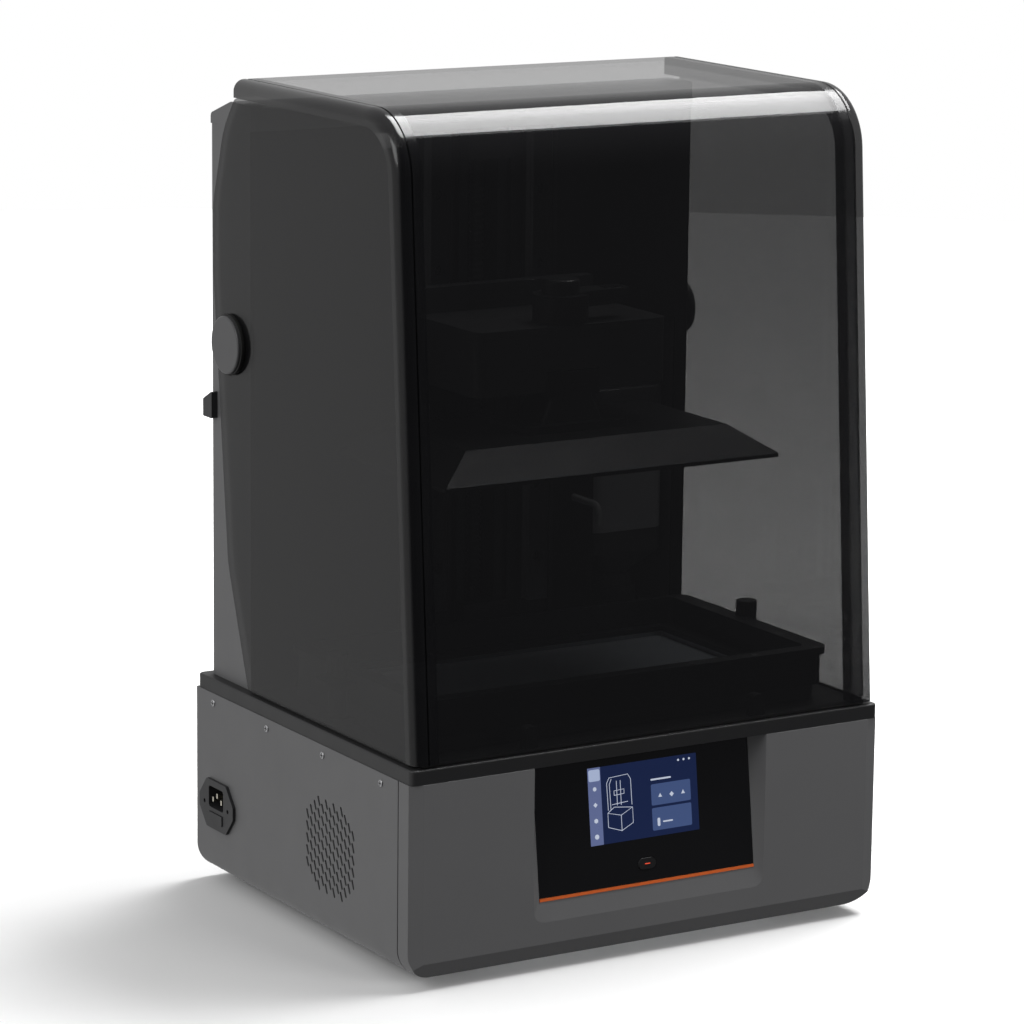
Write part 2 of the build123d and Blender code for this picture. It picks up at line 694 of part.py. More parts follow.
# ---------------------------------------------------------------- column
spine_half = 70.0
spine_front = col_front - 7.0
spine_back = spine_front + 26.0
spine_top = col_top - cap_height - 8.0
channel_half = 14.0
channel_floor = spine_front + 22.0
rail_front = spine_front - rail_t
rail_foot = deck_z + 52.0
rail_first_hole = 36.0
rail_length = spine_top - rail_foot
bolt_count = int((rail_length - rail_first_hole - rail_w) // rail_pitch) + 1
bay_half = bottle_w / 2 + bay_clearance
bay_wall = 2.0
bay_foot = deck_z + 28.0
bay_top = deck_z + 270.0
bay_back = col_rear - column_wall - 1.0
window_foot = deck_z + 22.0
cap_slope_y = col_rear - 34.0
tube_r = 3.0
tube_x = 95.0
tube_z = deck_z + 128.0
bottle_y = col_front + 33.0
seat_spigot_r = 6.0
shell_top = col_top - cap_height
with BuildPart() as column_shell:
    block(-col_half, col_half, col_front + front_cover_t, col_rear, deck_z, shell_top)
    fillet(column_shell.edges().filter_by(Axis.Z).group_by(Axis.Y)[-1], 3)
    block(-col_half + column_wall, col_half - column_wall, col_front, col_rear - column_wall, deck_z - 1,
          shell_top + 1, mode=Mode.SUBTRACT)
    block(bottle_x - bay_half - bay_wall, bottle_x + bay_half + bay_wall, col_front + front_cover_t,
          bay_back + bay_wall, bay_foot - bay_wall, bay_top + bay_wall)
    block(bottle_x - bay_half, bottle_x + bay_half, col_front, bay_back, bay_foot, bay_top, mode=Mode.SUBTRACT)
    post(bottle_x, bottle_y, bay_foot - bay_wall - 1, bay_foot + 1, seat_spigot_r + gap, mode=Mode.SUBTRACT)
    for side in (-1, 1):
        with BuildSketch(Plane.YZ.offset(side * (col_half + 1))):
            with Locations((hinge_y, hinge_z)):
                Circle(hinge_pin_r + 3)
        extrude(amount=-side * 10, mode=Mode.SUBTRACT)
    with BuildSketch(Plane.XZ.offset(-col_rear - 1)):
        with Locations((0, deck_z + 120)):
            with GridLocations(1, 9, 1, 10):
                SlotOverall(180, 3.6)
        with Locations((0, shell_top - 70)):
            with GridLocations(1, 9, 1, 6):
                SlotOverall(180, 3.6)
    extrude(amount=column_wall + 2, mode=Mode.SUBTRACT)
column_shell.part.label = "column_shell"
export_step(column_shell.part, "parts/column_shell.step")

with BuildPart() as column_front:
    block(-col_half, col_half, col_front, col_front + front_cover_t, deck_z, shell_top)
    fillet(column_front.edges().filter_by(Axis.Z).group_by(Axis.Y)[0], front_cover_t - gap)
    block(-spine_half - gap, spine_half + gap, col_front - 1, col_front + 10, window_foot, spine_top + gap,
          mode=Mode.SUBTRACT)
    block(-channel_half, channel_half, col_front - 1, col_front + 10, deck_z - 1, window_foot + 1,
          mode=Mode.SUBTRACT)
    block(bottle_x - bay_half, bottle_x + bay_half, col_front - 1, col_front + 10, bay_foot, bay_top,
          mode=Mode.SUBTRACT)
    with BuildSketch(Plane.XZ.offset(-col_front)):
        with Locations((tube_x, tube_z)):
            Circle(tube_r + 0.5)
    extrude(amount=-10, mode=Mode.SUBTRACT)
column_front.part.label = "column_front"
export_step(column_front.part, "parts/column_front.step")

with BuildPart() as column_cap:
    with BuildSketch(Plane.YZ.offset(-col_half)):
        with BuildLine():
            Polyline(
                (col_front, shell_top),
                (col_front, col_top),
                (cap_slope_y, col_top),
                (col_rear, col_top - cap_rear_drop),
                (col_rear, shell_top),
                close=True,
            )
        make_face()
    extrude(amount=column_width)
    fillet(column_cap.edges().filter_by(Axis.X).sort_by(Axis.Z)[-3:], 4)
    block(-col_half + column_wall, col_half - column_wall, col_front + column_wall, col_rear - column_wall,
          shell_top - 1, col_top - cap_rear_drop - column_wall, mode=Mode.SUBTRACT)
    block(-col_half + column_wall, col_half - column_wall, col_front + column_wall, cap_slope_y - column_wall,
          shell_top - 1, col_top - column_wall, mode=Mode.SUBTRACT)
column_cap.part.label = "column_cap"
export_step(column_cap.part, "parts/column_cap.step")

with BuildPart() as column_spine:
    block(-spine_half, spine_half, spine_front, spine_back, window_foot + gap, spine_top)
    block(-channel_half, channel_half, spine_front - 1, channel_floor, window_foot, spine_top + 1,
          mode=Mode.SUBTRACT)
    for side in (-1, 1):
        block(side * 64 - 2.5, side * 64 + 2.5, spine_front - 1, spine_front + 3, window_foot, spine_top + 1,
              mode=Mode.SUBTRACT)
        block(side * 24 - 3, side * 24 + 3, spine_front - 1, spine_front + 5, window_foot, spine_top + 1,
              mode=Mode.SUBTRACT)
    with BuildSketch(Plane.XZ.offset(-spine_front)):
        with Locations((-rail_x, rail_foot + rail_first_hole), (rail_x, rail_foot + rail_first_hole)):
            with GridLocations(1, rail_pitch, 1, bolt_count, align=(Align.CENTER, Align.MIN)):
                Circle(2.6)
    extrude(amount=-14, mode=Mode.SUBTRACT)
column_spine.part.label = "column_spine"
export_step(column_spine.part, "parts/column_spine.step")

with BuildPart() as linear_rails:
    for side in (-1, 1):
        with BuildSketch(Plane.XY.offset(rail_foot)):
            with BuildLine():
                Polyline(
                    (side * rail_x - rail_w / 2, spine_front),
                    (side * rail_x - rail_w / 2, rail_front + 9),
                    (side * rail_x - rail_w / 2 + 2.5, rail_front + 6.5),
                    (side * rail_x - rail_w / 2 + 2.5, rail_front + 4),
                    (side * rail_x - rail_w / 2, rail_front + 1.5),
                    (side * rail_x - rail_w / 2 + 1.5, rail_front),
                    (side * rail_x + rail_w / 2 - 1.5, rail_front),
                    (side * rail_x + rail_w / 2, rail_front + 1.5),
                    (side * rail_x + rail_w / 2 - 2.5, rail_front + 4),
                    (side * rail_x + rail_w / 2 - 2.5, rail_front + 6.5),
                    (side * rail_x + rail_w / 2, rail_front + 9),
                    (side * rail_x + rail_w / 2, spine_front),
                    close=True,
                )
            make_face()
        extrude(amount=rail_length)
    with BuildSketch(Plane.XZ.offset(-rail_front)):
        with Locations((-rail_x, rail_foot + rail_first_hole), (rail_x, rail_foot + rail_first_hole)):
            with GridLocations(1, rail_pitch, 1, bolt_count, align=(Align.CENTER, Align.MIN)):
                Circle(4.8)
    extrude(amount=-8.5, mode=Mode.SUBTRACT)
    with BuildSketch(Plane.XZ.offset(-rail_front)):
        with Locations((-rail_x, rail_foot + rail_first_hole), (rail_x, rail_foot + rail_first_hole)):
            with GridLocations(1, rail_pitch, 1, bolt_count, align=(Align.CENTER, Align.MIN)):
                Circle(2.6)
    extrude(amount=-rail_t, mode=Mode.SUBTRACT)
linear_rails.part.label = "linear_rails"
export_step(linear_rails.part, "parts/linear_rails.step")

with BuildPart() as rail_bolts:
    with BuildSketch(Plane.XZ.offset(-rail_front - 3.5)):
        with Locations((-rail_x, rail_foot + rail_first_hole), (rail_x, rail_foot + rail_first_hole)):
            with GridLocations(1, rail_pitch, 1, bolt_count, align=(Align.CENTER, Align.MIN)):
                Circle(4.3)
    extrude(amount=-5)
    with BuildSketch(Plane.XZ.offset(-rail_front - 3.5)):
        with Locations((-rail_x, rail_foot + rail_first_hole), (rail_x, rail_foot + rail_first_hole)):
            with GridLocations(1, rail_pitch, 1, bolt_count, align=(Align.CENTER, Align.MIN)):
                Circle(2.5)
    extrude(amount=-20)
rail_bolts.part.label = "rail_bolts"
export_step(rail_bolts.part, "parts/rail_bolts.step")

bearing_z = deck_z + 36.0
bearing_cap = 18.0
upper_z = spine_top - 22.0
with BuildPart() as bearing_blocks:
    for foot, top in ((window_foot + 2 * gap, bearing_z + bearing_cap), (upper_z, spine_top)):
        block(-20, 20, spine_front - 12, spine_front, foot, top)
        block(-channel_half + gap, channel_half - gap, spine_front, channel_floor - gap, foot, top)
        post(0, screw_y, foot - 1, top + 1, screw_r + run_fit, mode=Mode.SUBTRACT)
bearing_blocks.part.label = "bearing_blocks"
export_step(bearing_blocks.part, "parts/bearing_blocks.step")

with BuildPart() as lead_screw:
    post(0, screw_y, motor_top + 16, spine_top - 4.5, screw_r)
lead_screw.part.label = "lead_screw"
export_step(lead_screw.part, "parts/lead_screw.step")

with BuildPart() as shaft_coupler:
    post(0, screw_y, motor_top + 5, motor_top + 35, 11)
    post(0, screw_y, motor_top + 16, motor_top + 36, screw_r, mode=Mode.SUBTRACT)
    post(0, screw_y, motor_top + 4, motor_top + 17, 4.0, mode=Mode.SUBTRACT)
shaft_coupler.part.label = "shaft_coupler"
export_step(shaft_coupler.part, "parts/shaft_coupler.step")

clip_t = 5.4
clip_front = 10.5
clip_back = 4.4
clip_foot = deck_z + 210.5
with BuildPart() as rear_clip:
    for side in (-1, 1):
        with BuildSketch(Plane.YZ.offset(side * col_half)):
            with BuildLine():
                Polyline(
                    (col_rear - clip_front, clip_foot),
                    (col_rear + clip_back, clip_foot),
                    (col_rear + clip_back, clip_foot + 14),
                    (col_rear - clip_front, clip_foot + 22),
                    close=True,
                )
            make_face()
        extrude(amount=side * clip_t)
    fillet(rear_clip.edges().filter_by(Axis.X), 1)
rear_clip.part.label = "rear_clip"
export_step(rear_clip.part, "parts/rear_clip.step")

bumper_x = 103.0
with BuildPart() as hood_bumpers:
    with BuildSketch(Plane.XY.offset(deck_z)):
        with Locations((-bumper_x, front_y + 12.5), (bumper_x, front_y + 12.5)):
            Rectangle(11, 9)
    extrude(amount=19)
    fillet(hood_bumpers.edges().filter_by(Axis.Y).group_by(Axis.Z)[-1], 4)
hood_bumpers.part.label = "hood_bumpers"
export_step(hood_bumpers.part, "parts/hood_bumpers.step")

with BuildPart() as hinge_pins:
    for side in (-1, 1):
        with BuildSketch(Plane.YZ.offset(side * (col_half - column_wall - 5))):
            with Locations((hinge_y, hinge_z)):
                Circle(hinge_pin_r + 2.8)
        extrude(amount=side * (column_wall + 5.6))
        with BuildSketch(Plane.YZ.offset(side * (col_half - column_wall - gap))):
            with Locations((hinge_y, hinge_z)):
                Circle(hinge_pin_r + 9)
        extrude(amount=-side * 6)
        with BuildSketch(Plane.YZ.offset(side * (col_half - 4))):
            with Locations((hinge_y, hinge_z)):
                Circle(hinge_pin_r)
        extrude(amount=side * (hood_half - 1 + hinge_disc_t - 3 - col_half + 4))
hinge_pins.part.label = "hinge_pins"
export_step(hinge_pins.part, "parts/hinge_pins.step")

# ---------------------------------------------------------------- resin supply
bottle_foot = bay_foot + 46.0
neck_r = 13.0
cap_r = 17.0
seat_h = 16.0
with BuildPart() as bottle_seat:
    post(bottle_x, bottle_y, bay_foot, bay_foot + 3, 24)
    post(bottle_x, bottle_y, bay_foot + 3, bay_foot + seat_h, cap_r + 4)
    post(bottle_x, bottle_y, bay_foot + 3, bay_foot + seat_h + 1, cap_r + gap + 0.4, mode=Mode.SUBTRACT)
    post(bottle_x, bottle_y, bay_foot - 8, bay_foot + 1, seat_spigot_r)
    post(bottle_x, bottle_y, bay_foot - 9, bay_foot + 4, 3, mode=Mode.SUBTRACT)
bottle_seat.part.label = "bottle_seat"
export_step(bottle_seat.part, "parts/bottle_seat.step")

with BuildPart() as resin_bottle:
    with BuildSketch(Plane.XY.offset(bottle_foot)):
        with Locations((bottle_x, bottle_y)):
            RectangleRounded(bottle_w, bottle_d, 12)
    extrude(amount=bottle_h)
    with BuildSketch(Plane.XY.offset(bottle_foot)):
        with Locations((bottle_x, bottle_y)):
            RectangleRounded(bottle_w, bottle_d, 12)
    with BuildSketch(Plane.XY.offset(bottle_foot - 20)):
        with Locations((bottle_x, bottle_y)):
            Circle(neck_r)
    loft()
    fillet(resin_bottle.faces().sort_by(Axis.Z)[-1].edges(), 4)
    post(bottle_x, bottle_y, bay_foot + 3 + gap, bottle_foot - 20, cap_r)
resin_bottle.part.label = "resin_bottle"
export_step(resin_bottle.part, "parts/resin_bottle.step")

pump_top = bay_foot - 9.0
with BuildPart() as feed_pump:
    block(bottle_x - 24, bottle_x + 24, bottle_y - 16, bottle_y + 16, deck_z, pump_top)
    fillet(feed_pump.edges().filter_by(Axis.Z), 3)
    with BuildSketch(Plane.YZ.offset(bottle_x - 24)):
        with Locations((bottle_y, deck_z + 9)):
            Circle(tube_r)
    extrude(amount=-6)
feed_pump.part.label = "feed_pump"
export_step(feed_pump.part, "parts/feed_pump.step")

spout_y = print_rear + 5.5
spout_z = deck_z + 112.0
tube_bend = 9.0
with BuildPart() as feed_tube:
    with BuildLine() as tube_path:
        FilletPolyline(
            (bottle_x - 30, bottle_y, deck_z + 9),
            (tube_x, bottle_y, deck_z + 9),
            (tube_x, bottle_y, tube_z),
            (tube_x, spout_y, tube_z),
            (tube_x, spout_y, spout_z),
            radius=tube_bend,
        )
    with BuildSketch(Plane(origin=tube_path.line @ 0, z_dir=tube_path.line % 0)):
        Circle(tube_r)
        Circle(tube_r - 1, mode=Mode.SUBTRACT)
    sweep()
feed_tube.part.label = "feed_tube"
export_step(feed_tube.part, "parts/feed_tube.step")

# ---------------------------------------------------------------- carriage
plate_foot = deck_z + 13.5 + plate_rest_height
arm_foot = plate_foot + 55.5
arm_top = arm_foot + arm_height
block_half = 40.0
block_z = (arm_foot + arm_top) / 2
block_front = rail_front - 15.0
arm_front = print_centre_y - 20.0
with BuildPart() as rail_blocks:
    for side in (-1, 1):
        for z in (-1, 1):
            block(side * rail_x - 22, side * rail_x + 22, block_front, rail_front + 10.5,
                  block_z + z * (block_half / 2 + 1) - block_half / 2 + 1,
                  block_z + z * (block_half / 2 + 1) + block_half / 2 - 1)
        block(side * rail_x - rail_w / 2 - 0.4, side * rail_x + rail_w / 2 + 0.4, rail_front - 0.4,
              rail_front + 11, block_z - 50, block_z + 50, mode=Mode.SUBTRACT)
rail_blocks.part.label = "rail_blocks"
export_step(rail_blocks.part, "parts/rail_blocks.step")

arm_back = block_front - 12.0
stem_half = 24.0
nut_r = 12.0
lever_pin_r = 5.0
with BuildPart() as carriage_arm:
    block(-arm_width / 2 + 8, arm_width / 2 - 8, arm_back, block_front, block_z - 46, block_z + 46)
    block(-arm_width / 2, arm_width / 2, arm_front, arm_back, arm_foot, arm_top)
    fillet(carriage_arm.edges().filter_by(Axis.Z).group_by(Axis.Y)[0], 8)
    block(-arm_width / 2 + 7, -stem_half - 7, arm_front + 8, arm_back - 6, arm_foot - 1, arm_top - 7,
          mode=Mode.SUBTRACT)
    block(stem_half + 7, arm_width / 2 - 7, arm_front + 8, arm_back - 6, arm_foot - 1, arm_top - 7,
          mode=Mode.SUBTRACT)
    block(-stem_half - gap, stem_half + gap, arm_front - 1, print_centre_y + 24, arm_foot - 1, arm_foot + 16,
          mode=Mode.SUBTRACT)
    block(-11, 11, block_front - 1, screw_y - screw_r, block_z - 14, block_z + 14)
    post(0, screw_y, block_z - 15, block_z + 15, nut_r, mode=Mode.SUBTRACT)
    post(0, print_centre_y, arm_foot + 15, arm_top + 1, lever_pin_r, mode=Mode.SUBTRACT)
carriage_arm.part.label = "carriage_arm"
export_step(carriage_arm.part, "parts/carriage_arm.step")

with BuildPart() as lead_nut:
    post(0, screw_y, block_z - 14, block_z + 14, nut_r)
    post(0, screw_y, block_z - 15, block_z + 15, screw_r + run_fit, mode=Mode.SUBTRACT)
lead_nut.part.label = "lead_nut"
export_step(lead_nut.part, "parts/lead_nut.step")

lever_hub_r = 22.0
lever_reach = 58.0
with BuildPart() as lock_lever:
    post(0, print_centre_y, arm_foot + 17, arm_top + gap, lever_pin_r - run_fit)
    post(0, print_centre_y, arm_top + gap, arm_top + 22, lever_hub_r)
    with BuildSketch(Plane.XY.offset(arm_top + 12)):
        with BuildLine():
            Polyline(
                (0, print_centre_y - 14),
                (lever_reach, print_centre_y - 8),
                (lever_reach, print_centre_y + 8),
                (0, print_centre_y + 14),
                close=True,
            )
        make_face()
    extrude(amount=12)
    post(0, print_centre_y, arm_top + 20, arm_top + 34, 15)
    fillet(lock_lever.faces().sort_by(Axis.Z)[-1].edges(), 3)
lock_lever.part.label = "lock_lever"
export_step(lock_lever.part, "parts/lock_lever.step")

plate_half_w = print_width / 2 + 1.5
plate_half_d = print_depth / 2 + 0.5
plate_slope_x = 33.0
plate_slope_y = 26.0
stem_foot = plate_foot + plate_edge_t + plate_rise
with BuildPart() as build_platform:
    block(-plate_half_w, plate_half_w, print_centre_y - plate_half_d, print_centre_y + plate_half_d,
          plate_foot, plate_foot + plate_edge_t)
    with BuildSketch(Plane.XY.offset(plate_foot + plate_edge_t)):
        with Locations((0, print_centre_y)):
            Rectangle(2 * plate_half_w, 2 * plate_half_d)
    with BuildSketch(Plane.XY.offset(plate_foot + plate_edge_t + plate_rise)):
        with Locations((0, print_centre_y)):
            Rectangle(2 * (plate_half_w - plate_slope_x), 2 * (plate_half_d - plate_slope_y))
    loft()
    fillet(build_platform.edges().filter_by(Axis.Z), 1.2)
    with BuildSketch(Plane.XY.offset(stem_foot)):
        with Locations((0, print_centre_y)):
            RectangleRounded(96, 60, 8)
    extrude(amount=6)
    with BuildSketch(Plane.XY.offset(stem_foot + 6)):
        with Locations((0, print_centre_y)):
            RectangleRounded(56, 44, 6)
    with BuildSketch(Plane.XY.offset(arm_foot - 4)):
        with Locations((0, print_centre_y)):
            RectangleRounded(38, 40, 6)
    loft()
    block(-stem_half, stem_half, arm_front, print_centre_y + 23, arm_foot - 4, arm_foot + 15)
build_platform.part.label = "build_platform"
export_step(build_platform.part, "parts/build_platform.step")

# ---------------------------------------------------------------- vat
vat_depth = vat_rear - vat_front
vat_mid_y = (vat_rear + vat_front) / 2
cavity_half = vat_half - vat_side_wall
cavity_front = vat_front + vat_front_wall
cavity_rear = vat_rear - vat_rear_wall
window_half = plate_half_w + 5.0
window_front = print_front - 5.0
window_rear = print_rear + 3.6
ring_half = window_half + 7.0
ring_front = window_front - 7.0
ring_rear = window_rear + 2.6
film_t = 0.3
ring_t = 3.2
vat_floor_t = 8.0
tab_out = 14.0
knob_x = vat_half + 8.5
knob_y = vat_front + 122.5
knob_neck = 4.0
knob_h = 16.0
tab_top = vat_top - 8.0
with BuildPart() as vat_tray:
    with BuildSketch(Plane.XY.offset(vat_foot)):
        with Locations((0, vat_mid_y)):
            RectangleRounded(2 * vat_half, vat_depth, 9)
    extrude(amount=vat_height)
    with BuildSketch(Plane.XY.offset(vat_top - vat_rim_t)):
        with Locations((0, vat_mid_y)):
            RectangleRounded(2 * vat_half + 10, vat_depth + 2, 11)
    extrude(amount=vat_rim_t)
    with BuildSketch(Plane.XY.offset(tab_top - vat_rim_t)):
        with Locations((-knob_x, knob_y), (knob_x, knob_y)):
            RectangleRounded(2 * tab_out, 30, 8)
    extrude(amount=vat_rim_t)
    with BuildSketch(Plane.XY.offset(vat_foot + vat_floor_t)):
        with Locations((0, (cavity_front + cavity_rear) / 2)):
            RectangleRounded(2 * cavity_half, cavity_rear - cavity_front, 6)
    extrude(amount=vat_height, mode=Mode.SUBTRACT)
    block(-window_half, window_half, window_front, window_rear, vat_foot - 1, vat_foot + 10, mode=Mode.SUBTRACT)
    block(-ring_half - gap, ring_half + gap, ring_front - gap, ring_rear + gap, vat_foot - 1,
          vat_foot + film_t + ring_t + gap, mode=Mode.SUBTRACT)
    for side in (-1, 1):
        post(side * knob_x, knob_y, tab_top, vat_top + 1, vat_knob_r + 1, mode=Mode.SUBTRACT)
        post(side * knob_x, knob_y, tab_top - vat_rim_t - 1, vat_top, 3 + run_fit, mode=Mode.SUBTRACT)
vat_tray.part.label = "vat_tray"
export_step(vat_tray.part, "parts/vat_tray.step")

with BuildPart() as release_film:
    block(-ring_half, ring_half, ring_front, ring_rear, vat_foot, vat_foot + film_t)
release_film.part.label = "release_film"
export_step(release_film.part, "parts/release_film.step")

with BuildPart() as film_frame:
    block(-ring_half, ring_half, ring_front, ring_rear, vat_foot + film_t, vat_foot + film_t + ring_t)
    block(-window_half, window_half, window_front, window_rear, vat_foot, vat_foot + 5, mode=Mode.SUBTRACT)
film_frame.part.label = "film_frame"
export_step(film_frame.part, "parts/film_frame.step")

knob_parts = (("vat_knob_left", -1), ("vat_knob_right", 1))
for name, side in knob_parts:
    with BuildPart() as vat_knob:
        with BuildSketch(Plane.XY.offset(tab_top + knob_neck)):
            with Locations((side * knob_x, knob_y)):
                Circle(vat_knob_r)
                with PolarLocations(vat_knob_r + 0.6, 10):
                    Circle(1.6, mode=Mode.SUBTRACT)
        extrude(amount=knob_h)
        fillet(vat_knob.faces().sort_by(Axis.Z)[-1].edges(), 1)
        post(side * knob_x, knob_y, tab_top + gap, tab_top + knob_neck, 5)
        post(side * knob_x, knob_y, vat_foot - 4, tab_top + gap, 3)
    vat_knob.part.label = name
    export_step(vat_knob.part, f"parts/{name}.step")

with BuildPart() as vat_posts:
    for side in (-1, 1):
        post(side * knob_x, knob_y, deck_z, tab_top - vat_rim_t - gap, 7)
        post(side * knob_x, knob_y, deck_z + 8, vat_top, 3.4, mode=Mode.SUBTRACT)
        block(side * knob_x - 10, side * knob_x + 10, knob_y - 10, knob_y + 10, deck_z, deck_z + 4)
vat_posts.part.label = "vat_posts"
export_step(vat_posts.part, "parts/vat_posts.step")

# ---------------------------------------------------------------- hood
sheet_half = hood_half - hood_frame_w
hood_rear_top = hinge_y - 7.0
side_front_step = hood_frame_t / cos(radians(hood_lean))
sheet_band = hood_band(-sheet_half, hood_sheet_t, hood_foot, hood_rear_top)
with BuildPart() as hood_sheet:
    extrude(sheet_band, amount=2 * sheet_half)
hood_sheet.part.label = "hood_sheet"
export_step(hood_sheet.part, "parts/hood_sheet.step")

frame_bands = {
    side: hood_band(side * sheet_half, hood_frame_t, hood_foot, hood_rear_top) for side in (-1, 1)
}
groove_half = sheet_half + 8.0
groove_bands = {
    side: hood_band(side * groove_half, hood_groove_depth, hood_foot, hood_rear_top) for side in (-1, 1)
}
with BuildPart() as hood_frames:
    for side in (-1, 1):
        extrude(frame_bands[side], amount=side * hood_frame_w)
    for end in (0, -1):
        outline = hood_frames.faces().filter_by(Axis.X).group_by(Axis.X)[end].edges()
        rim = [edge for edge in outline if edge.center().Y < hood_front_at(edge.center().Z) + 2
               or edge.center().Z > hood_top - 2 or (edge.geom_type == GeomType.CIRCLE and edge.radius > 40)]
        fillet(rim, 9)
    for side in (-1, 1):
        extrude(groove_bands[side], amount=side * hood_groove_w, mode=Mode.SUBTRACT)
hood_frames.part.label = "hood_frames"
export_step(hood_frames.part, "parts/hood_frames.step")

side_rear_points = [
    (hinge_y - 7, hood_top - hood_frame_t - gap),
    (hinge_y + 12, hood_top - 40),
    (hinge_y + 30, hood_top - 100),
    (hinge_y + 30, hood_top - 155),
    (hinge_y + 6, deck_z + 98),
    (col_front - 1, hood_foot),
]
side_top = hood_top - hood_frame_t - gap
with BuildPart() as hood_sides:
    for side in (-1, 1):
        with BuildSketch(Plane.YZ.offset(side * (hood_half - 1))):
            with BuildLine():
                FilletPolyline(
                    (hood_front_at(hood_foot) + side_front_step + gap, hood_foot),
                    (hood_front_at(side_top) + side_front_step + gap, side_top),
                    *side_rear_points,
                    radius=[2, hood_curve_r - hood_frame_t - gap, 8, 60, 60, 60, 60, 2],
                    close=True,
                )
            make_face()
        extrude(amount=-side * hood_side_t)
        with BuildSketch(Plane.YZ.offset(side * hood_half)):
            with Locations((hinge_y, hinge_z)):
                Circle(hinge_pin_r + run_fit)
        extrude(amount=-side * 6, mode=Mode.SUBTRACT)
hood_sides.part.label = "hood_sides"
export_step(hood_sides.part, "parts/hood_sides.step")

with BuildPart() as hinge_discs:
    for side in (-1, 1):
        with BuildSketch(Plane.YZ.offset(side * (hood_half - 1))):
            with Locations((hinge_y, hinge_z)):
                Circle(hinge_disc_r)
        extrude(amount=side * (hinge_disc_t + 1))
    for end in (0, -1):
        fillet(hinge_discs.faces().filter_by(Axis.X).sort_by(Axis.X)[end].edges(), 1.5)
    for side in (-1, 1):
        with BuildSketch(Plane.YZ.offset(side * (hood_half - 2))):
            with Locations((hinge_y, hinge_z)):
                Circle(hinge_pin_r + run_fit)
        extrude(amount=side * (hinge_disc_t - 1), mode=Mode.SUBTRACT)
hinge_discs.part.label = "hinge_discs"
export_step(hinge_discs.part, "parts/hinge_discs.step")
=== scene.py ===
import json

from math import cos, pi, radians, sin

import bpy
from mathutils import Matrix, Vector


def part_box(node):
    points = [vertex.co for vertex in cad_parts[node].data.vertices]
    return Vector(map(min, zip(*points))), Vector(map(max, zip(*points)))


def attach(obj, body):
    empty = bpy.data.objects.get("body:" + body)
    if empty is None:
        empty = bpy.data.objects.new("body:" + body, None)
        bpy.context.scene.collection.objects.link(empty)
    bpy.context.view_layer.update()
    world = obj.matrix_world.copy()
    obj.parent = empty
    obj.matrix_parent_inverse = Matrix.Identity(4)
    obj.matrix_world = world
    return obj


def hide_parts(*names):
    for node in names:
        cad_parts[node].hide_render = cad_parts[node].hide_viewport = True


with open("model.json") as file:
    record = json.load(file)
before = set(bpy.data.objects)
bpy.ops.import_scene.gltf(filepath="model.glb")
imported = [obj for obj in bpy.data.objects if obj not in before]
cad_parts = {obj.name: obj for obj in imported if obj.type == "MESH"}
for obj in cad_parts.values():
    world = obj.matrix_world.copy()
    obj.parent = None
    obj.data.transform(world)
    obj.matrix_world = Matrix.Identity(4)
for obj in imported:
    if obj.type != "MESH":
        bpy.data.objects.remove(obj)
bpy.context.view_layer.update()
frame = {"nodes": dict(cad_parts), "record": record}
MM = 0.001

# ---------------------------------------------------------------- places read from the frame
glass_low, glass_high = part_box("display_glass")
GLASS_LEAN = radians(7.2)
GLASS_T = 2 * MM
glass_foot = Vector((0, glass_low.y, glass_low.z + GLASS_T * sin(GLASS_LEAN)))
glass_out = Vector((0, -cos(GLASS_LEAN), sin(GLASS_LEAN)))
glass_up = Vector((0, sin(GLASS_LEAN), cos(GLASS_LEAN)))
disc_low, disc_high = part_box("hinge_discs")
hinge_y = (disc_low.y + disc_high.y) / 2
hinge_z = (disc_low.z + disc_high.z) / 2
screw_low, screw_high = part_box("lead_screw")
bolt_low, bolt_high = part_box("rail_bolts")


# ---------------------------------------------------------------- modelling helpers
def deselect():
    bpy.ops.object.select_all(action="DESELECT")


def choose(*pieces):
    """Selects only these pieces, the last one active."""
    deselect()
    for piece in pieces:
        piece.select_set(True)
    bpy.context.view_layer.objects.active = pieces[-1]


def settle(piece, angle=35):
    """Puts a piece's place into its mesh and shades it smooth up to an angle."""
    choose(piece)
    bpy.ops.object.transform_apply(location=True, rotation=True, scale=True)
    bpy.ops.object.shade_smooth_by_angle(angle=radians(angle))
    return piece


def cylinder(name, radius, depth, place=(0, 0, 0), turn=(0, 0, 0), sides=48):
    deselect()
    bpy.ops.mesh.primitive_cylinder_add(vertices=sides, radius=radius, depth=depth, location=place, rotation=turn)
    piece = bpy.context.object
    piece.name = name
    return piece


def block(name, low, high):
    """A box between two corners, with its place in its mesh."""
    low, high = Vector(low), Vector(high)
    deselect()
    bpy.ops.mesh.primitive_cube_add(size=1, location=(low + high) / 2)
    piece = bpy.context.object
    piece.name = name
    piece.scale = high - low
    bpy.ops.object.transform_apply(location=True, rotation=True, scale=True)
    return piece


def soften(piece, width, segments=2, angle=35):
    """Rounds a piece's edges."""
    choose(piece)
    bevel = piece.modifiers.new("soft_edge", "BEVEL")
    bevel.width = width
    bevel.segments = segments
    bevel.limit_method = "ANGLE"
    bevel.angle_limit = radians(angle)
    bpy.ops.object.modifier_apply(modifier=bevel.name)
    return piece


def cut(piece, tool):
    """Takes the tool's shape out of a piece."""
    choose(piece)
    boolean = piece.modifiers.new("cut", "BOOLEAN")
    boolean.operation = "DIFFERENCE"
    boolean.object = tool
    bpy.ops.object.modifier_apply(modifier=boolean.name)
    bpy.data.objects.remove(tool)
    return piece


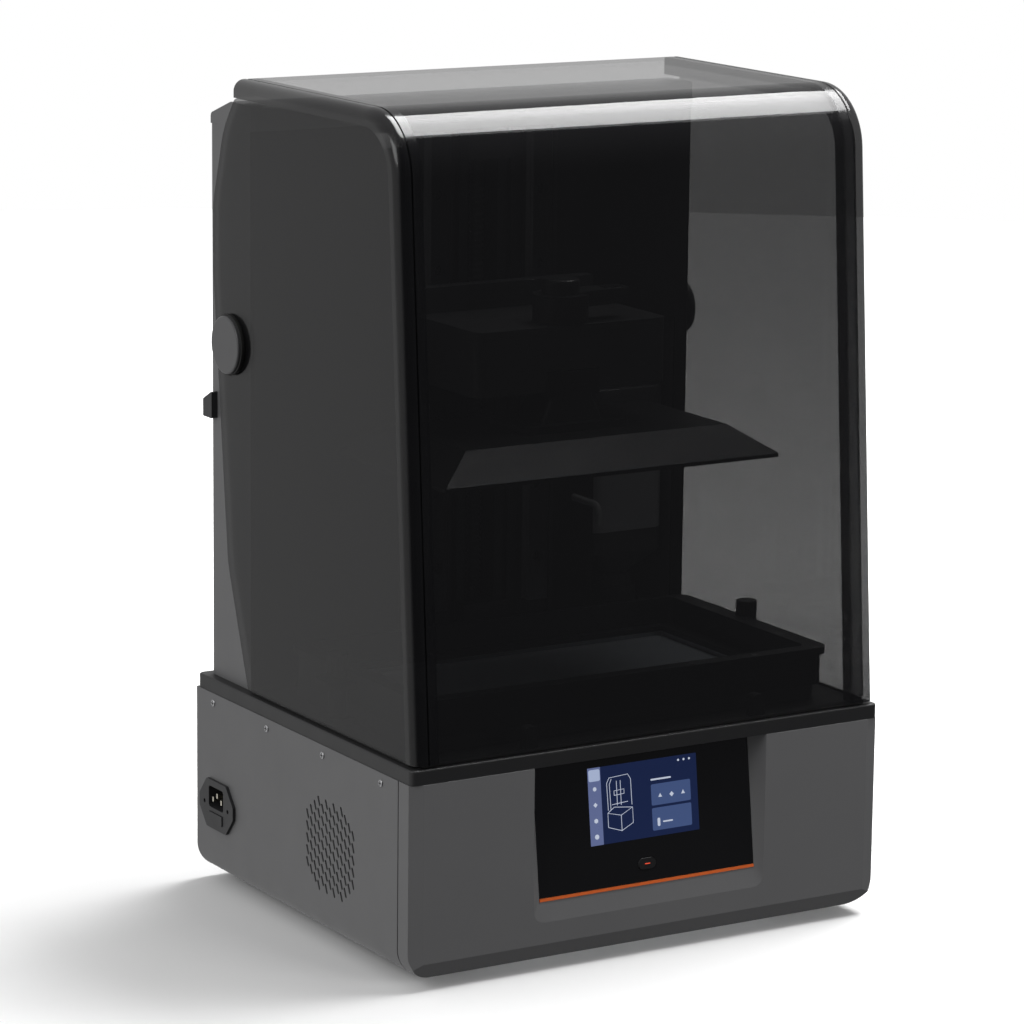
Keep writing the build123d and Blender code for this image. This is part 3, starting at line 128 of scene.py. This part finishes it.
def select_faces(piece, test):
    """Enters edit mode with only the faces that pass the test selected."""
    choose(piece)
    bpy.ops.object.mode_set(mode="EDIT")
    bpy.ops.mesh.select_mode(type="FACE")
    bpy.ops.mesh.select_all(action="DESELECT")
    bpy.ops.object.mode_set(mode="OBJECT")
    for face in piece.data.polygons:
        face.select = test(face)
    bpy.ops.object.mode_set(mode="EDIT")


def join(name, pieces):
    choose(*pieces)
    bpy.ops.object.join()
    piece = bpy.context.object
    piece.name = name
    return piece


def facing(outward):
    """Rotation that turns +Z to look outward."""
    return Vector((0, 0, 1)).rotation_difference(Vector(outward)).to_matrix().to_4x4()


def copies(name, master, places, outward):
    """The master, which looks along +Z, copied to each place with its own mesh and joined."""
    made = []
    for place in places:
        choose(master)
        bpy.ops.object.duplicate()
        twin = bpy.context.object
        twin.matrix_world = Matrix.Translation(place) @ facing(outward)
        made.append(twin)
    bpy.data.objects.remove(master)
    piece = join(name, made)
    return settle(piece)


def socket_screw(radius, height, socket_r, socket_depth):
    """A round head with a hexagon socket, standing on the XY plane."""
    head = cylinder("head", radius, height, (0, 0, height / 2), sides=40)
    head = soften(head, min(0.35 * MM, height * 0.3))
    hexagon = cylinder("hexagon", socket_r, 2 * socket_depth, (0, 0, height), sides=6)
    return cut(head, hexagon)


def cross_screw(radius, height):
    """A domed head with a cross recess, standing on the XY plane."""
    head = cylinder("head", radius, height, (0, 0, height / 2), sides=40)
    head = soften(head, height * 0.6, segments=4)
    for turn in (0, pi / 2):
        arm = block("arm", (-radius * 0.62, -radius * 0.13, height * 0.35), (radius * 0.62, radius * 0.13, height * 2))
        arm.rotation_euler.z = turn
        head = cut(head, arm)
    return head


# ---------------------------------------------------------------- materials
def finish(name, colour, rough, metal=0.0, mottle=0.1, mottle_scale=14.0, rough_spread=0.06,
           grain=0.0, grain_scale=1800.0, stretch=(1, 1, 1), edge=0.0, **sockets):
    """A surface whose colour, roughness and relief all vary a little. Extra words set the shader's own sockets."""
    material = bpy.data.materials.new(name)
    material.use_nodes = True
    tree = material.node_tree
    shader = tree.nodes["Principled BSDF"]
    shader.inputs["Metallic"].default_value = metal
    for socket, value in sockets.items():
        shader.inputs[socket.replace("_", " ")].default_value = value
    place = tree.nodes.new("ShaderNodeTexCoord")
    mapping = tree.nodes.new("ShaderNodeMapping")
    mapping.inputs["Scale"].default_value = stretch
    tree.links.new(place.outputs["Object"], mapping.inputs["Vector"])
    cloud = tree.nodes.new("ShaderNodeTexNoise")
    cloud.inputs["Scale"].default_value = mottle_scale
    cloud.inputs["Detail"].default_value = 5
    tree.links.new(mapping.outputs["Vector"], cloud.inputs["Vector"])
    tint = tree.nodes.new("ShaderNodeMix")
    tint.data_type = "RGBA"
    tint.inputs["A"].default_value = (*[c * (1 - mottle) for c in colour], 1)
    tint.inputs["B"].default_value = (*[min(1, c * (1 + mottle)) for c in colour], 1)
    tree.links.new(cloud.outputs["Fac"], tint.inputs["Factor"])
    tree.links.new(tint.outputs["Result"], shader.inputs["Base Color"])
    smudge = tree.nodes.new("ShaderNodeTexNoise")
    smudge.inputs["Scale"].default_value = mottle_scale * 3
    smudge.inputs["Detail"].default_value = 4
    tree.links.new(mapping.outputs["Vector"], smudge.inputs["Vector"])
    spread = tree.nodes.new("ShaderNodeMapRange")
    spread.inputs["To Min"].default_value = max(0.01, rough - rough_spread)
    spread.inputs["To Max"].default_value = min(1, rough + rough_spread)
    tree.links.new(smudge.outputs["Fac"], spread.inputs["Value"])
    tree.links.new(spread.outputs["Result"], shader.inputs["Roughness"])
    normal = None
    if edge:
        rounding = tree.nodes.new("ShaderNodeBevel")
        rounding.samples = 4
        rounding.inputs["Radius"].default_value = edge
        normal = rounding.outputs["Normal"]
    if grain:
        grit = tree.nodes.new("ShaderNodeTexNoise")
        grit.inputs["Scale"].default_value = grain_scale
        grit.inputs["Detail"].default_value = 2
        tree.links.new(mapping.outputs["Vector"], grit.inputs["Vector"])
        relief = tree.nodes.new("ShaderNodeBump")
        relief.inputs["Strength"].default_value = grain
        relief.inputs["Distance"].default_value = 0.1 * MM
        tree.links.new(grit.outputs["Fac"], relief.inputs["Height"])
        if normal:
            tree.links.new(normal, relief.inputs["Normal"])
        normal = relief.outputs["Normal"]
    if normal:
        tree.links.new(normal, shader.inputs["Normal"])
    return material


def light(name, colour, strength):
    """A lit stretch of the screen."""
    return finish(name, [c * 0.2 for c in colour], 0.3, mottle=0.2, mottle_scale=60,
                  Emission_Color=(*colour, 1), Emission_Strength=strength)


FINISHES = {
    "graphite_shell": finish("graphite_shell", (0.135, 0.135, 0.138), 0.5, mottle=0.05, grain=0.5, edge=0.6 * MM),
    "deck_black": finish("deck_black", (0.02, 0.02, 0.021), 0.5, mottle=0.08, grain=0.35, edge=0.5 * MM),
    "cover_black": finish("cover_black", (0.006, 0.006, 0.0065), 0.6, mottle=0.15, grain=0.4),
    "zinc_steel": finish("zinc_steel", (0.5, 0.51, 0.53), 0.38, metal=1, mottle=0.15, mottle_scale=60, grain=0.1),
    "black_plastic": finish("black_plastic", (0.024, 0.024, 0.026), 0.5, mottle=0.12, grain=0.6, edge=0.4 * MM),
    "rubber_black": finish("rubber_black", (0.016, 0.016, 0.016), 0.85, mottle=0.2, grain=0.8, grain_scale=900),
    "pin_metal": finish("pin_metal", (0.72, 0.68, 0.58), 0.25, metal=1, edge=0.3 * MM),
    "circuit_board": finish("circuit_board", (0.012, 0.085, 0.035), 0.35, mottle=0.4, mottle_scale=220),
    "display_black": finish("display_black", (0.008, 0.008, 0.009), 0.12, rough_spread=0.03, mottle=0.1,
                            Coat_Weight=0.3),
    "screen_picture": finish("screen_picture", (0.02, 0.02, 0.03), 0.3, mottle=0.1),
    "orange_strip": finish("orange_strip", (0.66, 0.13, 0.03), 0.35, mottle=0.06, grain=0.1),
    "button_grey": finish("button_grey", (0.014, 0.014, 0.015), 0.42, mottle=0.1, grain=0.2, edge=0.3 * MM),
    "mask_glass": finish("mask_glass", (0.01, 0.011, 0.014), 0.08, rough_spread=0.02, mottle=0.1),
    "frame_black": finish("frame_black", (0.022, 0.022, 0.024), 0.42, mottle=0.08, grain=0.3, edge=0.4 * MM),
    "lens_clear": finish("lens_clear", (0.9, 0.93, 0.96), 0.08, mottle=0.02, Transmission_Weight=0.9, IOR=1.49),
    "cast_grey": finish("cast_grey", (0.02, 0.02, 0.022), 0.45, mottle=0.1, grain=0.4, edge=0.5 * MM),
    "motor_black": finish("motor_black", (0.03, 0.03, 0.032), 0.45, metal=0.4, grain=0.3),
    "rail_steel": finish("rail_steel", (0.2, 0.2, 0.21), 0.34, metal=1, mottle=0.1, grain=0.15,
                         stretch=(1, 1, 0.05), grain_scale=2600),
    "nut_brass": finish("nut_brass", (0.6, 0.42, 0.16), 0.32, metal=1, mottle=0.12),
    "arm_paint": finish("arm_paint", (0.03, 0.03, 0.032), 0.48, mottle=0.08, grain=0.5, edge=0.8 * MM),
    "knob_black": finish("knob_black", (0.018, 0.018, 0.019), 0.4, mottle=0.1, grain=0.3, edge=0.5 * MM),
    "platform_metal": finish("platform_metal", (0.016, 0.016, 0.017), 0.42, metal=0.3, mottle=0.12, grain=0.25,
                             stretch=(0.06, 1, 1), grain_scale=2600, edge=0.4 * MM),
    "vat_metal": finish("vat_metal", (0.012, 0.012, 0.013), 0.42, metal=0.2, mottle=0.08, grain=0.25,
                        edge=0.6 * MM),
    "film_clear": finish("film_clear", (0.75, 0.8, 0.85), 0.12, mottle=0.05, Alpha=0.25),
    "bottle_plastic": finish("bottle_plastic", (0.05, 0.05, 0.052), 0.38, mottle=0.1, grain=0.2),
    "tube_clear": finish("tube_clear", (0.6, 0.62, 0.62), 0.25, mottle=0.1, Alpha=0.5),
    "hood_tint": finish("hood_tint", (0.012, 0.012, 0.013), 0.045, rough_spread=0.01, mottle=0.1, Alpha=0.56),
    "hood_frame": finish("hood_frame", (0.008, 0.008, 0.009), 0.16, rough_spread=0.02, mottle=0.08,
                         Alpha=0.8),
    "hinge_cover": finish("hinge_cover", (0.075, 0.075, 0.078), 0.34, mottle=0.08, grain=0.15, edge=0.4 * MM),
}
SEAL = finish("seal_rubber", (0.012, 0.012, 0.012), 0.7, mottle=0.2, grain=0.5, grain_scale=900)
DARK_SCREW = finish("dark_screw", (0.42, 0.42, 0.43), 0.24, metal=1, mottle=0.15, mottle_scale=300)
LABEL = finish("label_paper", (0.3, 0.3, 0.31), 0.6, mottle=0.08, grain=0.3, grain_scale=700)
SCREEN_BLUE = light("screen_blue", (0.009, 0.016, 0.055), 0.9)
SCREEN_SIDE = light("screen_side", (0.12, 0.15, 0.3), 0.8)
SCREEN_TILE = light("screen_tile", (0.4, 0.47, 0.66), 0.8)
SCREEN_CARD = light("screen_card", (0.05, 0.08, 0.19), 0.9)
SCREEN_WHITE = light("screen_white", (0.55, 0.6, 0.72), 0.8)
BUTTON_RED = light("button_red", (0.7, 0.07, 0.03), 1.2)

for row in frame["record"]["subparts"]:
    cad_node = frame["nodes"][row["node"]]
    cad_node.data.materials.clear()
    cad_node.data.materials.append(FINISHES[row["material_slot"]])


def wear(piece, material, body):
    """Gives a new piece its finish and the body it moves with."""
    piece.data.materials.clear()
    piece.data.materials.append(material)
    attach(piece, body)
    return piece


# ---------------------------------------------------------------- screws
def hinge_screws(name, side):
    """Four socket screws on a hinge cover."""
    face_x = disc_high.x if side > 0 else disc_low.x
    ring_r = 15 * MM
    places = [
        (face_x - side * 1.0 * MM, hinge_y + ring_r * cos(turn), hinge_z + ring_r * sin(turn))
        for turn in (radians(45 + 90 * i) for i in range(4))
    ]
    screws = copies(name, socket_screw(2.6 * MM, 1.6 * MM, 1.3 * MM, 1.0 * MM), places, (side, 0, 0))
    return wear(screws, DARK_SCREW, "hood")


for side, name in ((-1, "hinge_screws_left"), (1, "hinge_screws_right")):
    hinge_screws(name, side)


def hinge_ring_painted_shade(name, side):
    """A black ring between a hinge cover and the hood's side: partly a washer, partly painted shade standing in for the
    contact shadow the cover casts on the side.
    """
    face_x = disc_high.x if side > 0 else disc_low.x
    ring_r = (disc_high.z - disc_low.z) / 2 + 1.2 * MM
    # dark rubber ring, partly a real washer and partly painted shade: it darkens the hood's side round the cover where
    # the cover's contact shadow falls
    ring = cylinder("ring", ring_r, 3.4 * MM, (face_x - side * 4.2 * MM, hinge_y, hinge_z), (0, pi / 2, 0), 96)
    bore = cylinder("bore", 22 * MM, 12 * MM, (face_x - side * 4.2 * MM, hinge_y, hinge_z), (0, pi / 2, 0), 96)
    ring = settle(soften(cut(ring, bore), 0.6 * MM))
    ring.name = name
    wear(ring, SEAL, "hood")


for side, name in ((-1, "hinge_washer_left"), (1, "hinge_washer_right")):
    hinge_ring_painted_shade(name, side)


def panel_screws():
    """Cross-head screws along the top of both side panels, in place of the plain CAD ones."""
    low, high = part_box("panel_screws")
    head_r = (high.z - low.z) / 2
    first, last = low.y + head_r, high.y - head_r
    rows = []
    for side in (-1, 1):
        places = [(side * (high.x - 1.9 * MM), first + (last - first) * i / 3, (low.z + high.z) / 2) for i in range(4)]
        rows.append(copies("row", cross_screw(head_r, 1.9 * MM), places, (side, 0, 0)))
    screws = wear(settle(join("side_screws", rows)), DARK_SCREW, "root")
    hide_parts("panel_screws")


panel_screws()


def rail_bolts():
    """Cap screws sunk in the rails, in place of the plain CAD ones."""
    head_r = 4.3 * MM
    count = 6
    first, last = bolt_low.z + head_r, bolt_high.z - head_r
    places = [
        (x, bolt_low.y + 4.6 * MM, first + (last - first) * i / (count - 1))
        for x in (bolt_low.x + head_r, bolt_high.x - head_r)
        for i in range(count)
    ]
    screws = copies("rail_cap_screws", socket_screw(head_r, 4.6 * MM, 2.5 * MM, 2.2 * MM), places, (0, -1, 0))
    wear(screws, DARK_SCREW, "root")
    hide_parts("rail_bolts")


rail_bolts()


# ---------------------------------------------------------------- lead screw
def lead_screw():
    """The lift's screw with its thread: one turn's outline wound up the core."""
    pitch = 5 * MM
    crest, root = (screw_high.x - screw_low.x) / 2, 4.9 * MM
    middle_y = (screw_low.y + screw_high.y) / 2
    turns = int((screw_high.z - screw_low.z) / pitch) - 1
    deselect()
    bpy.ops.mesh.primitive_plane_add(size=1 * MM, location=(0, 0, 0))
    thread = bpy.context.object
    bpy.ops.object.mode_set(mode="EDIT")
    bpy.ops.mesh.merge(type="CENTER")
    bpy.ops.transform.translate(value=(root, 0, 0))
    for out, up in ((crest - root, 0.2), (0, 0.3), (root - crest, 0.2), (0, 0.3)):
        bpy.ops.mesh.extrude_vertices_move(TRANSFORM_OT_translate={"value": (out, 0, up * pitch)})
    bpy.ops.object.mode_set(mode="OBJECT")
    winding = thread.modifiers.new("winding", "SCREW")
    winding.screw_offset = pitch
    winding.iterations = turns
    winding.steps = winding.render_steps = 24
    winding.use_merge_vertices = True
    winding.use_normal_calculate = True
    bpy.ops.object.modifier_apply(modifier=winding.name)
    thread.location = (0, middle_y, screw_low.z + 2 * MM)
    settle(thread, 50)
    core = cylinder("core", root - 0.02 * MM, screw_high.z - screw_low.z,
                    (0, middle_y, (screw_low.z + screw_high.z) / 2))
    settle(core)
    screw = wear(join("threaded_screw", [core, thread]), FINISHES["rail_steel"], "screw")
    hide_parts("lead_screw")


lead_screw()


# ---------------------------------------------------------------- hood seal
def hood_seal():
    """The soft strip under the hood's front and sides."""
    low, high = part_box("hood_frames")
    thick = 2.2 * MM
    z0, z1 = low.z - thick, low.z
    strips = [
        block("front_strip", (low.x + 8 * MM, low.y + 4 * MM, z0), (high.x - 8 * MM, low.y + 11 * MM, z1)),
    ]
    for side in (-1, 1):
        x = side * (high.x - 2.2 * MM)
        strips.append(block("side_strip", (min(x, x - side * 2 * MM), low.y + 14 * MM, z0),
                            (max(x, x - side * 2 * MM), 0.09, z1)))
    seal = settle(soften(join("hood_seal", strips), 0.5 * MM))
    wear(seal, SEAL, "hood")


hood_seal()


# ---------------------------------------------------------------- vat and bottle details
def film_screws():
    """Socket screws round the vat's rim that hold the film's frame."""
    low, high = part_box("vat_tray")
    rim_z = high.z - 0.6 * MM
    front, rear = low.y + 6 * MM, high.y - 4.5 * MM
    left, right = low.x + 28 * MM, high.x - 28 * MM
    across, deep = 7, 4
    places = [
        (left + (right - left) * i / (across - 1), y, rim_z) for y in (front,) for i in range(across)
    ]
    places += [
        (x, front + (rear - front) * i / deep, rim_z) for x in (left, right) for i in range(1, deep)
    ]
    screws = copies("film_screws", socket_screw(2.4 * MM, 1.4 * MM, 1.2 * MM, 0.8 * MM), places, (0, 0, 1))
    wear(screws, DARK_SCREW, "vat")


film_screws()


def bottle_label():
    """A plain paper band round the bottle, with no print on it."""
    low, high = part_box("resin_bottle")
    corner = 12 * MM
    out = 0.25 * MM
    band = block("bottle_label", (low.x - out, low.y - out, low.z + 62 * MM), (high.x + out, high.y + out, high.z - 36 * MM))
    choose(band)
    bpy.ops.object.mode_set(mode="EDIT")
    bpy.ops.mesh.select_mode(type="EDGE")
    bpy.ops.mesh.select_all(action="DESELECT")
    bpy.ops.object.mode_set(mode="OBJECT")
    for edge in band.data.edges:
        a, b = (band.data.vertices[i].co for i in edge.vertices)
        edge.select = abs(a.z - b.z) > corner
    bpy.ops.object.mode_set(mode="EDIT")
    bpy.ops.mesh.bevel(offset=corner, segments=8, affect="EDGES")
    bpy.ops.mesh.select_mode(type="FACE")
    bpy.ops.object.mode_set(mode="OBJECT")
    for face in band.data.polygons:
        face.select = abs(face.normal.z) > 0.5
    bpy.ops.object.mode_set(mode="EDIT")
    bpy.ops.mesh.delete(type="FACE")
    bpy.ops.object.mode_set(mode="OBJECT")
    wall = band.modifiers.new("wall", "SOLIDIFY")
    wall.thickness = 0.2 * MM
    bpy.ops.object.modifier_apply(modifier=wall.name)
    wear(settle(band), LABEL, "bottle")


bottle_label()


def plate_arrow():
    """The raised grip bars on the locking lever."""
    low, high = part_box("lock_lever")
    middle_y = (low.y + high.y) / 2
    bars = [
        soften(block("bar", (high.x - x * MM, middle_y - 6 * MM, high.z - 11 * MM),
                     (high.x - (x - 2) * MM, middle_y + 6 * MM, high.z - 9 * MM)), 0.5 * MM)
        for x in (5, 10, 15, 20)
    ]
    wear(settle(join("lever_grip_bars", bars)), FINISHES["knob_black"], "lever")


plate_arrow()


# ---------------------------------------------------------------- screen picture
def on_glass(piece, lift=0.05):
    """Moves a piece drawn flat on XY, in metres from the glass's foot, on to the front of the glass."""
    across = Vector((1, 0, 0))
    place = Matrix.Identity(4)
    place.col[0][:3] = across
    place.col[1][:3] = glass_up
    place.col[2][:3] = glass_out
    place.col[3][:3] = glass_foot + glass_out * lift * MM
    piece.matrix_world = place
    return settle(piece)


def tile(x0, x1, y0, y1, corner=1.0, thick=0.12):
    """A thin plate with rounded corners, in millimetres on the drawing plane."""
    plate = block("tile", (x0 * MM, y0 * MM, 0), (x1 * MM, y1 * MM, thick * MM))
    choose(plate)
    bpy.ops.object.mode_set(mode="EDIT")
    bpy.ops.mesh.select_mode(type="EDGE")
    bpy.ops.mesh.select_all(action="DESELECT")
    bpy.ops.object.mode_set(mode="OBJECT")
    for edge in plate.data.edges:
        a, b = (plate.data.vertices[i].co for i in edge.vertices)
        edge.select = abs(a.z - b.z) > thick * MM / 2
    bpy.ops.object.mode_set(mode="EDIT")
    bpy.ops.mesh.bevel(offset=corner * MM, segments=4, affect="EDGES")
    bpy.ops.object.mode_set(mode="OBJECT")
    return plate


def strokes(name, lines, width):
    """Round strokes along lists of points, in millimetres on the drawing plane, as one mesh."""
    drawing = bpy.data.curves.new(name, "CURVE")
    drawing.dimensions = "3D"
    drawing.bevel_depth = width * MM / 2
    drawing.bevel_resolution = 2
    drawing.use_fill_caps = True
    for line in lines:
        spline = drawing.splines.new("POLY")
        spline.points.add(len(line) - 1)
        for point, (x, y) in zip(spline.points, line):
            point.co = (x * MM, y * MM, 0, 1)
    piece = bpy.data.objects.new(name, drawing)
    bpy.context.scene.collection.objects.link(piece)
    choose(piece)
    bpy.ops.object.convert(target="MESH")
    return bpy.context.object


def screen_picture():
    """A made-up home page: a side bar, a line drawing of a printer and two cards."""
    left, right = -49.5, 49.5
    foot, top = 33.6, 93.6
    width, height = right - left, top - foot
    bar = left + 11.5
    page = on_glass(tile(left, right, foot, top, corner=0.6), 0.02)
    wear(page, SCREEN_BLUE, "root").name = "screen_page"
    side = on_glass(tile(left, bar, foot, top, corner=0.4, thick=0.16), 0.02)
    wear(side, SCREEN_SIDE, "root").name = "screen_side_bar"
    shown = on_glass(tile(left + 0.8, bar - 0.6, top - 10.5, top - 1.5, corner=1.4, thick=0.22), 0.02)
    wear(shown, SCREEN_TILE, "root").name = "screen_chosen_tile"
    cards = [
        tile(right - 42.5, right - 6.5, top - 36.0, top - 19.5, corner=1.2, thick=0.18),
        tile(right - 42.5, right - 6.5, foot + 4.5, top - 38.0, corner=1.2, thick=0.18),
    ]
    cards = on_glass(join("screen_cards", cards), 0.02)
    wear(cards, SCREEN_CARD, "root")
    middle = (left + bar) / 2
    icons = []
    for i, sides in enumerate((24, 4, 6, 32)):
        y = top - 16.5 - i * height * 0.205
        icons.append(cylinder("icon", (1.9 if i else 1.6) * MM, 0.24 * MM, (middle * MM, y * MM, 0.12 * MM), sides=sides))
    for x in (right - 6.5, right - 11.5, right - 16.5):
        icons.append(cylinder("icon", 0.9 * MM, 0.24 * MM, (x * MM, (top - 3.6) * MM, 0.12 * MM), sides=20))
    for i, sides in enumerate((3, 4, 3)):
        x = right - 34.5 + 10.5 * i
        icons.append(cylinder("icon", 2.0 * MM, 0.3 * MM, (x * MM, (top - 29.0) * MM, 0.15 * MM), sides=sides))
    icons.append(tile(right - 38.0, right - 35.6, foot + 7.5, foot + 14.0, corner=1.1, thick=0.28))
    icons.append(tile(right - 33.0, right - 24.0, foot + 10.0, foot + 11.2, corner=0.5, thick=0.28))
    icons.append(tile(right - 42.5, right - 24.0, top - 16.5, top - 15.2, corner=0.5, thick=0.28))
    icons = on_glass(join("screen_icons", icons), 0.02)
    wear(icons, SCREEN_WHITE, "root")
    x0, x1, x2 = bar + 5.0, bar + 17.0, bar + 27.5
    y0, y1, y2 = foot + 9.5, foot + 22.5, top - 9.5
    outline = [
        [(x0, y0 + 3), (x1, y0 - 1), (x2, y0 + 4), (x2, y1 + 3), (x1, y1 - 2), (x0, y1 + 1), (x0, y0 + 3)],
        [(x1, y0 - 1), (x1, y1 - 2)],
        [(x0, y1 + 1), (x0 + 6, y1 + 5), (x2, y1 + 3)],
        [(x0 + 0.6, y1 + 3), (x0 + 0.2, y2 - 4), (x0 + 2.5, y2), (x2 - 3, y2 + 1), (x2 - 0.6, y2 - 3), (x2 - 0.4, y1 + 5)],
        [(x0 + 3, y1 + 3), (x0 + 2.6, y2 - 5), (x0 + 4.5, y2 - 1)],
        [(x0 + 9, y1 + 6), (x0 + 9, y2 - 3)],
        [(x0 + 12.5, y1 + 6), (x0 + 12.5, y2 - 3)],
        [(x0 + 6.5, y1 + 14), (x0 + 15.5, y1 + 14.5), (x0 + 15.5, y1 + 18), (x0 + 6.5, y1 + 17.5), (x0 + 6.5, y1 + 14)],
        [(x0 + 4, y1 + 7), (x0 + 18.5, y1 + 8)],
    ]
    drawing = on_glass(strokes("screen_drawing", outline, 0.5), 0.15)
    wear(drawing, SCREEN_WHITE, "root")


screen_picture()


def power_mark():
    """The button's lit bar and the thin ring round it."""
    low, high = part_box("power_button")
    along = ((low + high) / 2 - glass_foot).dot(glass_up) / MM
    mark = strokes("power_bar", [[(-2.2, along), (2.2, along)]], 0.7)
    mark = on_glass(mark, 0.85)
    wear(mark, BUTTON_RED, "button")


power_mark()

# ---------------------------------------------------------------- floor, light and camera
FLOOR_R = 4.0
WHITE_FLOOR = finish("white_floor", (0.93, 0.93, 0.93), 0.8, mottle=0.005, mottle_scale=2,
                     Emission_Color=(1, 1, 1, 1))


def bright_far_floor(material, start, end, strength):
    """Lets the floor glow more the further it lies from the object, so that it meets the white surroundings."""
    tree = material.node_tree
    place = tree.nodes.new("ShaderNodeTexCoord")
    reach = tree.nodes.new("ShaderNodeVectorMath")
    reach.operation = "LENGTH"
    tree.links.new(place.outputs["Object"], reach.inputs[0])
    glow = tree.nodes.new("ShaderNodeMapRange")
    glow.interpolation_type = "SMOOTHSTEP"
    glow.inputs["From Min"].default_value = start
    glow.inputs["From Max"].default_value = end
    glow.inputs["To Max"].default_value = strength
    tree.links.new(reach.outputs["Value"], glow.inputs["Value"])
    tree.links.new(glow.outputs["Result"], tree.nodes["Principled BSDF"].inputs["Emission Strength"])


bright_far_floor(WHITE_FLOOR, 0.35, 1.3, 1.0)
floor = cylinder("floor", FLOOR_R, 0.02, (0, 0, -0.0102), sides=96)
settle(soften(floor, 0.004))
floor.data.materials.append(WHITE_FLOOR)
floor.visible_glossy = False
floor.visible_diffuse = False


def studio():
    """A bright sky behind and above, falling off to dark in front, and pure white where the camera sees it."""
    world = bpy.data.worlds.new("studio")
    bpy.context.scene.world = world
    world.use_nodes = True
    tree = world.node_tree
    background = tree.nodes["Background"]
    place = tree.nodes.new("ShaderNodeTexCoord")
    back = tree.nodes.new("ShaderNodeVectorMath")
    back.operation = "DOT_PRODUCT"
    back.inputs[1].default_value = (-0.45, 0.85, 0.28)
    tree.links.new(place.outputs["Generated"], back.inputs[0])
    fade = tree.nodes.new("ShaderNodeMapRange")
    fade.interpolation_type = "SMOOTHSTEP"
    fade.inputs["From Min"].default_value = -0.35
    fade.inputs["From Max"].default_value = 0.3
    fade.inputs["To Min"].default_value = 0.03
    fade.inputs["To Max"].default_value = 0.6
    tree.links.new(back.outputs["Value"], fade.inputs["Value"])
    path = tree.nodes.new("ShaderNodeLightPath")
    either = tree.nodes.new("ShaderNodeMath")
    either.operation = "MAXIMUM"
    tree.links.new(fade.outputs["Result"], either.inputs[0])
    tree.links.new(path.outputs["Is Camera Ray"], either.inputs[1])
    tree.links.new(either.outputs["Value"], background.inputs["Strength"])
    background.inputs["Color"].default_value = (1, 1, 1, 1)


studio()


def soft_box(name, place, target, size, power, mirrored=True):
    """A large soft lamp, which glossy surfaces mirror or not."""
    lamp = bpy.data.lights.new(name, "AREA")
    lamp.shape = "RECTANGLE"
    lamp.size, lamp.size_y = size
    lamp.energy = power
    box = bpy.data.objects.new(name, lamp)
    box.location = place
    box.rotation_euler = (Vector(target) - Vector(place)).to_track_quat("-Z", "Y").to_euler()
    box.visible_glossy = mirrored
    bpy.context.scene.collection.objects.link(box)


soft_box("overhead", (0.95, 0.1, 2.5), (0.1, 0.05, 0.5), (1.7, 1.3), 95)
soft_box("left_key", (-3.0, -0.7, 2.0), (0, 0, 0.5), (1.6, 1.6), 26)
soft_box("front_fill", (1.2, -3.2, 0.9), (0, 0, 0.1), (1.6, 1.0), 50, mirrored=False)


def photo_camera():
    """The viewpoint: to the left of the front, a little above."""
    data = bpy.data.cameras.new("view")
    data.lens = 151.37
    data.sensor_width = 36
    camera = bpy.data.objects.new("view", data)
    aim = Matrix.Rotation(radians(-31.24), 4, "Z") @ Matrix.Rotation(radians(90 - 11.924), 4, "X")
    camera.matrix_world = Matrix.Translation((-1.74145, -2.83402, 1.01695)) @ aim @ Matrix.Rotation(radians(0.651), 4, "Z")
    bpy.context.scene.collection.objects.link(camera)
    bpy.context.scene.camera = camera


photo_camera()
bpy.context.scene.view_settings.view_transform = "Standard"
